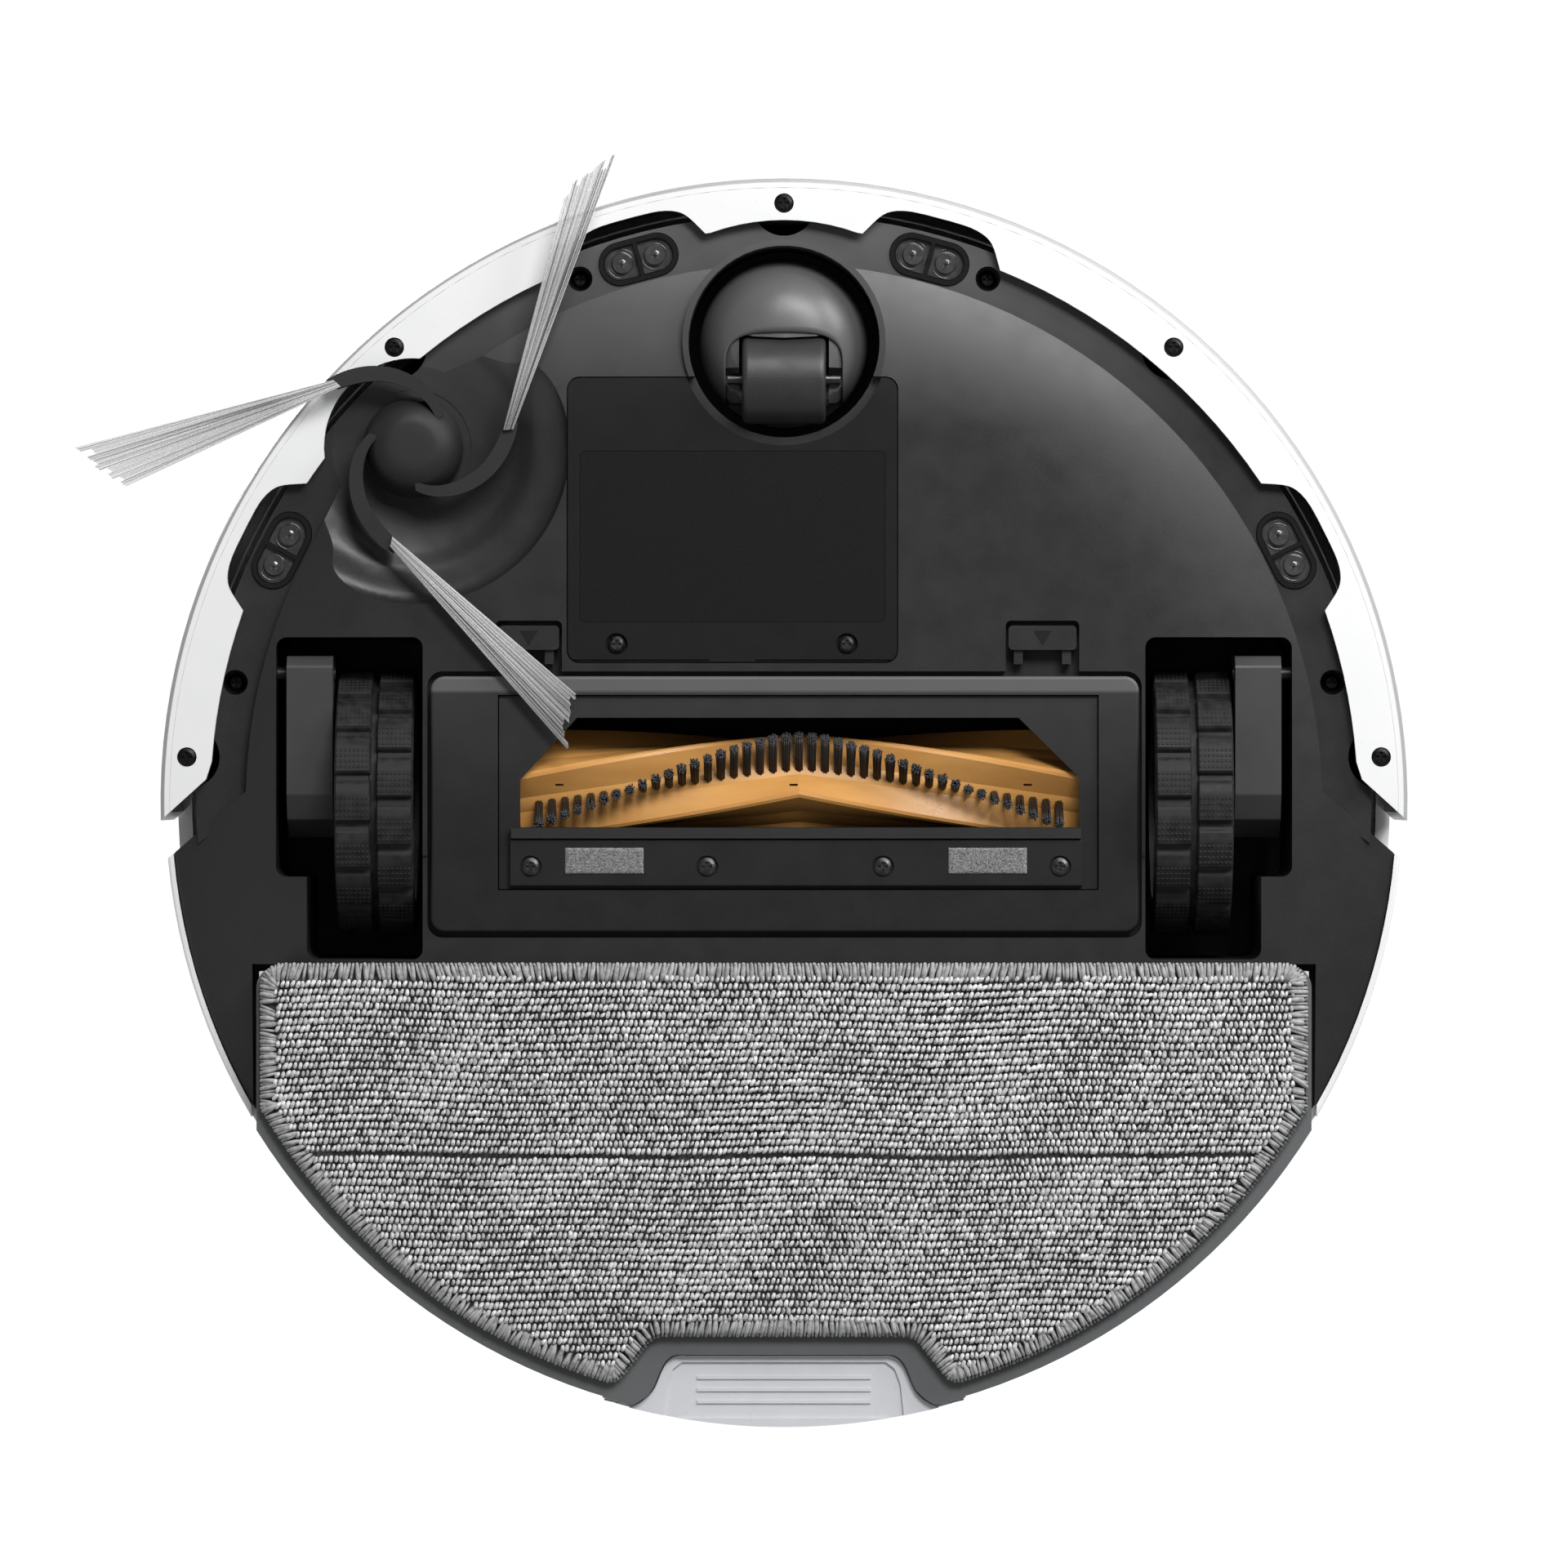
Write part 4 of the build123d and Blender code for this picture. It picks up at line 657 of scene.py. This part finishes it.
def tread_radius(share):
    """Radius over one pitch of the tread: a ramp, the gripping flat, then a sharp step down."""
    stops, levels = zip(*BLOCK_SHAPE)
    return ROOT_R + (WHEEL_R - ROOT_R) * np.interp(share % 1.0, stops, levels)


def tyre(side):
    name = "left" if side > 0 else "right"
    low, high = corner_box(name + "_wheel_tyre")
    inner, outer = (low[0], high[0]) if side > 0 else (-high[0], -low[0])
    middle = (inner + outer) / 2
    per_pitch = 28
    steps = BLOCKS * per_pitch
    turn = np.arange(steps) / per_pitch
    rows = (tread_radius(turn), tread_radius(turn + 0.5))
    columns = [(inner, None, BORE_R), (inner, None, ROOT_R - 0.8), (inner + 0.25, None, ROOT_R)]
    for row, (x0, x1) in enumerate(((inner + 0.3, middle - 0.95), (middle + 0.95, outer - 0.3))):
        columns += [(x0, row, -0.5), (x0 + 0.35, row, 0.0), (x1 - 0.35, row, 0.0), (x1, row, -0.5)]
        columns += [(x1 + 0.1, None, ROOT_R), (x1 + 1.6, None, ROOT_R)] if row == 0 else []
    columns += [(outer - 0.25, None, ROOT_R), (outer, None, ROOT_R - 0.8), (outer, None, BORE_R)]
    angle = turn * 2 * pi / BLOCKS
    vertices = np.zeros((steps, len(columns), 3))
    for j, (x, row, r) in enumerate(columns):
        radius = np.full(steps, r) if row is None else np.maximum(rows[row] + r, ROOT_R)
        vertices[:, j, 0] = x * side
        vertices[:, j, 1] = radius * np.sin(angle)
        vertices[:, j, 2] = WHEEL_R - radius * np.cos(angle)
    faces = grid_faces(steps, len(columns), close_rows=True)
    body = (vertices.reshape(-1, 3), faces)

    # rows of small grip studs on every block's flat
    studs, stud_faces = [], []
    for row, (x0, x1) in enumerate(((inner + 1.0, middle - 1.65), (middle + 1.65, outer - 1.0))):
        for block in range(BLOCKS):
            for share in (0.42, 0.54, 0.66, 0.78):
                a = (block + share - 0.5 * row) * 2 * pi / BLOCKS
                for x in np.linspace(x0, x1, 8):
                    start = len(studs)
                    for r, half in ((WHEEL_R - 0.05, 0.46), (WHEEL_R + 0.16, 0.22)):
                        for dx, da in ((-1, -1), (1, -1), (1, 1), (-1, 1)):
                            t = a + da * half / WHEEL_R
                            studs.append(((x + dx * half) * side, r * sin(t), WHEEL_R - r * cos(t)))
                    for k in range(4):
                        m = (k + 1) % 4
                        stud_faces.append((start + k, start + m, start + 4 + m, start + 4 + k))
                    stud_faces.append((start + 4, start + 5, start + 6, start + 7))
    whole = joined(body, (studs, stud_faces))
    rubber = FINISHES["tyre"].material
    made = piece(name + "_tyre_tread", *whole, rubber, name + "_wheel", "tyre", smooth=False)
    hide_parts(name + "_wheel_tyre")


tyre(1)
tyre(-1)


# ---- Felt pads ----------------------------------------------------------------------------------
def felt_pads():
    """Two fuzzy pads with soft edges and a few loose fibres."""
    rng = np.random.default_rng(SEED + 3)
    low, high = corner_box("felt_pads")
    width = 22.0
    parts, hairs, hair_radii = [], [], []
    for x0, x1 in ((low[0], low[0] + width), (high[0] - width, high[0])):
        xs, ys = np.linspace(x0, x1, 74), np.linspace(low[1], high[1], 26)
        gx, gy = np.meshgrid(xs, ys)
        edge = np.minimum(np.minimum(gx - x0, x1 - gx), np.minimum(gy - low[1], high[1] - gy))
        z = low[2] + 0.12 + rng.uniform(0, 0.12, gx.shape) + 0.35 * np.exp(-edge / 0.25)
        top = np.column_stack([gx.ravel(), gy.ravel(), z.ravel()])
        rim = top.copy()
        rim[:, 2] = high[2]
        count = len(top)
        faces = grid_faces(26, 74)
        loop = list(range(74)) + [74 * r + 73 for r in range(1, 26)]
        loop += [74 * 25 + c for c in range(72, -1, -1)] + [74 * r for r in range(24, 0, -1)]
        for a, b in zip(loop, loop[1:] + loop[:1]):
            faces.append((b, a, a + count, b + count))
        parts.append((np.concatenate([top, rim]), faces))
        for _ in range(260):
            px, py = rng.uniform(x0 + 0.4, x1 - 0.4), rng.uniform(low[1] + 0.4, high[1] - 0.4)
            p = np.array([px, py, low[2] + 0.16])
            q = p + np.array([*rng.normal(0, 0.7, 2), -0.12])
            q[:2] = np.clip(q[:2], (x0 + 0.1, low[1] + 0.1), (x1 - 0.1, high[1] - 0.1))
            hairs.append([p, (p + q) / 2 - np.array([0, 0, 0.08]), q])
            hair_radii.append([0.04, 0.045, 0.03])
    parts.append(tubes(hairs, hair_radii, 4))
    pad = FINISHES["grey_felt"].material
    made = piece("felt_pad_faces", *joined(*parts), pad, "brush_cover", "grey_felt")
    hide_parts("felt_pads")


felt_pads()


# ---- Caster dome --------------------------------------------------------------------------------
CASTER_Y = -129.0
DOME_POWER = 2.6
DOME_R, DOME_LOW, DOME_RISE = 23.7, 4.7, 19.3


def caster_dome():
    """Smooth skin of the swivel housing, with an arch that leaves the wheel free."""
    across, deep = 120, 26
    u = np.linspace(0, 1, across)
    # the arch: a straight leg up each side, then a squarish curve over the wheel
    arch_x, arch_y, leg_y, arch_rise, squareness = 16.4, -121.5, -112.3, 10.0, 0.62
    leg_end, leg_start = 0.22, 0.78
    turn = np.interp(u, (0, leg_end, leg_start, 1), (pi, pi, 0, 0))
    inner_x = arch_x * np.sign(np.cos(turn)) * np.abs(np.cos(turn)) ** squareness
    inner_y = arch_y - arch_rise * np.abs(np.sin(turn)) ** squareness
    inner_y = np.where(u < leg_end, np.interp(u, (0, leg_end), (leg_y, arch_y)), inner_y)
    inner_y = np.where(u > leg_start, np.interp(u, (leg_start, 1), (arch_y, leg_y)), inner_y)
    rear = np.arcsin((leg_y - CASTER_Y) / DOME_R)
    sweep = np.interp(u, (0, 1), (pi - rear, 2 * pi + rear))
    outer = np.column_stack([DOME_R * np.cos(sweep), CASTER_Y + DOME_R * np.sin(sweep)])
    share = np.linspace(0, 1, deep) ** 0.8
    inner = np.column_stack([inner_x, inner_y])
    plan = inner[None] * (1 - share)[:, None, None] + outer[None] * share[:, None, None]
    reach = np.hypot(plan[..., 0], plan[..., 1] - CASTER_Y)
    flatness = 1.0 - np.minimum(reach / DOME_R, 1.0) ** DOME_POWER
    drop = DOME_LOW + DOME_RISE * (1.0 - np.sqrt(flatness))
    skin = np.dstack([plan, drop])
    edge, lip = skin[0].copy(), skin[0].copy()
    edge[:, 2] += 0.25
    lip[:, 2] += 2.4
    layers = np.concatenate([lip[None], edge[None], skin]).reshape(-1, 3)
    faces = grid_faces(deep + 2, across)
    piece("caster_dome", layers, faces, FINISHES["caster_black"].material, "caster_swivel", "caster_black")


caster_dome()


# ---- Side brush dome ----------------------------------------------------------------------------
def sweep_dome():
    """Smooth rubber dome with a flat top over the middle of the side brush."""
    profile = ((0.05, 4.34), (3.5, 4.34), (6.2, 4.35), (7.6, 4.55), (9.2, 5.25))
    profile += ((10.8, 6.5), (12.2, 8.3), (13.2, 10.3), (13.85, 12.6), (14.1, 15.2))
    steps = 96
    turn = np.linspace(0, 2 * pi, steps, endpoint=False)
    plan = np.column_stack([np.cos(turn), np.sin(turn)])
    rings = [np.column_stack([(SWEEP_X, SWEEP_Y) + r * plan, np.full(steps, z)]) for r, z in profile]
    faces = grid_faces(len(rings), steps, close_columns=True)
    faces.append(tuple(range(steps)))
    rubber = FINISHES["arm_rubber"].material
    piece("side_brush_dome", np.concatenate(rings), faces, rubber, "side_brush", "arm_rubber")


sweep_dome()


# ---- Cliff sensor lenses ------------------------------------------------------------------------
CLIFF_BEARINGS = (-63.4, -15.0, 15.0, 63.4)
CLIFF_R = 157.8
LENS_PROFILE = ((0.02, -1.35), (1.0, -1.2), (1.9, -0.7), (2.6, 0.0), (2.75, 0.25), (3.0, -0.15))
LENS_PROFILE += ((3.35, -0.15), (3.5, 0.15), (3.8, 0.15), (3.95, -0.1), (4.25, -0.1), (4.4, 0.35))


def cliff_lenses():
    """Twin domes with moulded rings round them in every cliff sensor window."""
    low, _ = corner_box("cliff_sensor_lenses")
    face_z = low[2] + 1.0
    steps = 40
    turn = np.linspace(0, 2 * pi, steps, endpoint=False)
    parts = []
    for bearing in CLIFF_BEARINGS:
        a = radians(bearing)
        middle = np.array([CLIFF_R * sin(a), -CLIFF_R * cos(a)])
        for side in (-1, 1):
            centre = middle + side * 4.9 * np.array([cos(a), sin(a)])
            rings = []
            for r, lift in LENS_PROFILE:
                x = centre[0] + r * np.cos(turn)
                y = centre[1] + r * np.sin(turn)
                rings.append(np.column_stack([x, y, np.full(steps, face_z + lift)]))
            faces = grid_faces(len(rings), steps, close_columns=True)
            faces.append(tuple(range(steps)))
            parts.append((np.concatenate(rings), faces))
    piece("cliff_lens_domes", *joined(*parts), FINISHES["smoked_lens"].material, "chassis", "smoked_lens")


cliff_lenses()


# ---- Latch marks --------------------------------------------------------------------------------
def latch_mark(side):
    """Dark triangle over the one pressed into a latch's thumb tab."""
    low, high = corner_box("cover_latch_" + side)
    middle = (low[0] + high[0]) / 2
    corners = [(-2.6, -48.0), (2.6, -48.0), (0.1, -43.9), (-0.1, -43.9)]
    plan = np.array([(middle + x, y) for x, y in corners])
    layers = [np.column_stack([plan, np.full(4, low[2] + z)]) for z in (-0.05, 0.36)]
    faces = grid_faces(2, 4, close_columns=True) + [(3, 2, 1, 0), (4, 5, 6, 7)]
    solid = (np.concatenate(layers), faces)
    body = side + "_latch"
    piece("latch_mark_" + side, *solid, deep_black.material, body, "underside_black", smooth=False)


latch_mark("left")
latch_mark("right")


# ---- Stage --------------------------------------------------------------------------------------
def stage_floor():
    """Pale floor, seen from above only, so that the underside can be looked at through it."""
    mesh = bpy.data.meshes.new("floor")
    reach = 6.0
    drop = -0.0004
    corners = [(-reach, -reach, drop), (reach, -reach, drop), (reach, reach, drop), (-reach, reach, drop)]
    mesh.from_pydata(corners, [], [(0, 1, 2, 3)])
    floor = bpy.data.objects.new("floor", mesh)
    bpy.context.scene.collection.objects.link(floor)
    f = Finish("floor_pale", 0.7)
    f.paint(f.mix(f.noise(180.0, 3.0), 0.80, 0.84))
    f.bump(f.noise(3.0, 2.0), 0.02)
    clear = f.node("BsdfTransparent")
    back = f.node("NewGeometry").outputs["Backfacing"]
    shown = f.node("MixShader", {"Fac": back})
    f.links.new(f.shader.outputs["BSDF"], shown.inputs[1])
    f.links.new(clear.outputs["BSDF"], shown.inputs[2])
    f.links.new(shown.outputs["Shader"], f.nodes["Material Output"].inputs["Surface"])
    mesh.materials.append(f.material)
    floor.visible_diffuse = False
    floor.visible_glossy = False
    floor.visible_transmission = False
    floor.visible_shadow = False


def area_light(name, place, target, size, power):
    light = bpy.data.lights.new(name, "AREA")
    light.shape = "RECTANGLE"
    light.size, light.size_y = size
    light.energy = power
    obj = bpy.data.objects.new(name, light)
    bpy.context.scene.collection.objects.link(obj)
    obj.location = place
    obj.rotation_euler = (Vector(target) - Vector(place)).to_track_quat("-Z", "Y").to_euler()
    obj.visible_camera = False
    return obj


def sky():
    """Plain studio surround: white overhead, pale at the horizon, dim below."""
    world = bpy.data.worlds.new("studio")
    world.use_nodes = True
    tree = world.node_tree
    direction = tree.nodes.new("ShaderNodeTexCoord").outputs["Generated"]
    split = tree.nodes.new("ShaderNodeSeparateXYZ")
    tree.links.new(direction, split.inputs["Vector"])
    level = tree.nodes.new("ShaderNodeMapRange")
    level.inputs["From Min"].default_value = -1.0
    tree.links.new(split.outputs["Z"], level.inputs["Value"])
    ramp = tree.nodes.new("ShaderNodeValToRGB")
    tree.links.new(level.outputs["Result"], ramp.inputs["Fac"])
    stops = ((0.0, 0.10), (0.25, 0.16), (0.45, 0.45), (0.52, 0.62), (0.8, 0.60), (0.985, 0.72), (0.992, 1.0))
    for i, (place, tone) in enumerate(stops):
        stop = ramp.color_ramp.elements[i] if i < 2 else ramp.color_ramp.elements.new(place)
        stop.position = place
        stop.color = colour(tone)
    background = tree.nodes["Background"]
    tree.links.new(ramp.outputs["Color"], background.inputs["Color"])
    background.inputs["Strength"].default_value = 1.04
    bpy.context.scene.world = world


def camera():
    """Straight up at the underside from far away, the front at the top of the picture."""
    distance, width = 2.6, 0.4392
    data = bpy.data.cameras.new("underside_view")
    data.sensor_width = 36.0
    data.lens = 36.0 * (distance + 0.009) / width
    data.clip_end = 50.0
    obj = bpy.data.objects.new("underside_view", data)
    obj.location = (0.0, -0.00503, -distance)
    obj.rotation_euler = (pi, 0.0, 0.0)
    bpy.context.scene.collection.objects.link(obj)
    bpy.context.scene.camera = obj


stage_floor()
sky()
camera()
area_light("front_key", (0.40, -0.95, -1.15), (0.03, -0.06, 0.0), (0.9, 0.45), 23.0)
area_light("low_side", (0.62, -0.52, -0.30), (0.03, -0.06, 0.0), (0.4, 0.25), 3.5)
area_light("low_fill", (-0.9, 0.5, -1.3), (0, 0.05, 0), (1.0, 1.0), 2.0)
area_light("rear_fill", (0.7, 1.0, -1.2), (0, 0.05, 0), (1.0, 1.0), 1.6)
area_light("top_key", (-0.7, -0.8, 1.3), (0, 0, 0.05), (0.8, 0.8), 16.0)
bpy.context.scene.view_settings.view_transform = "Standard"
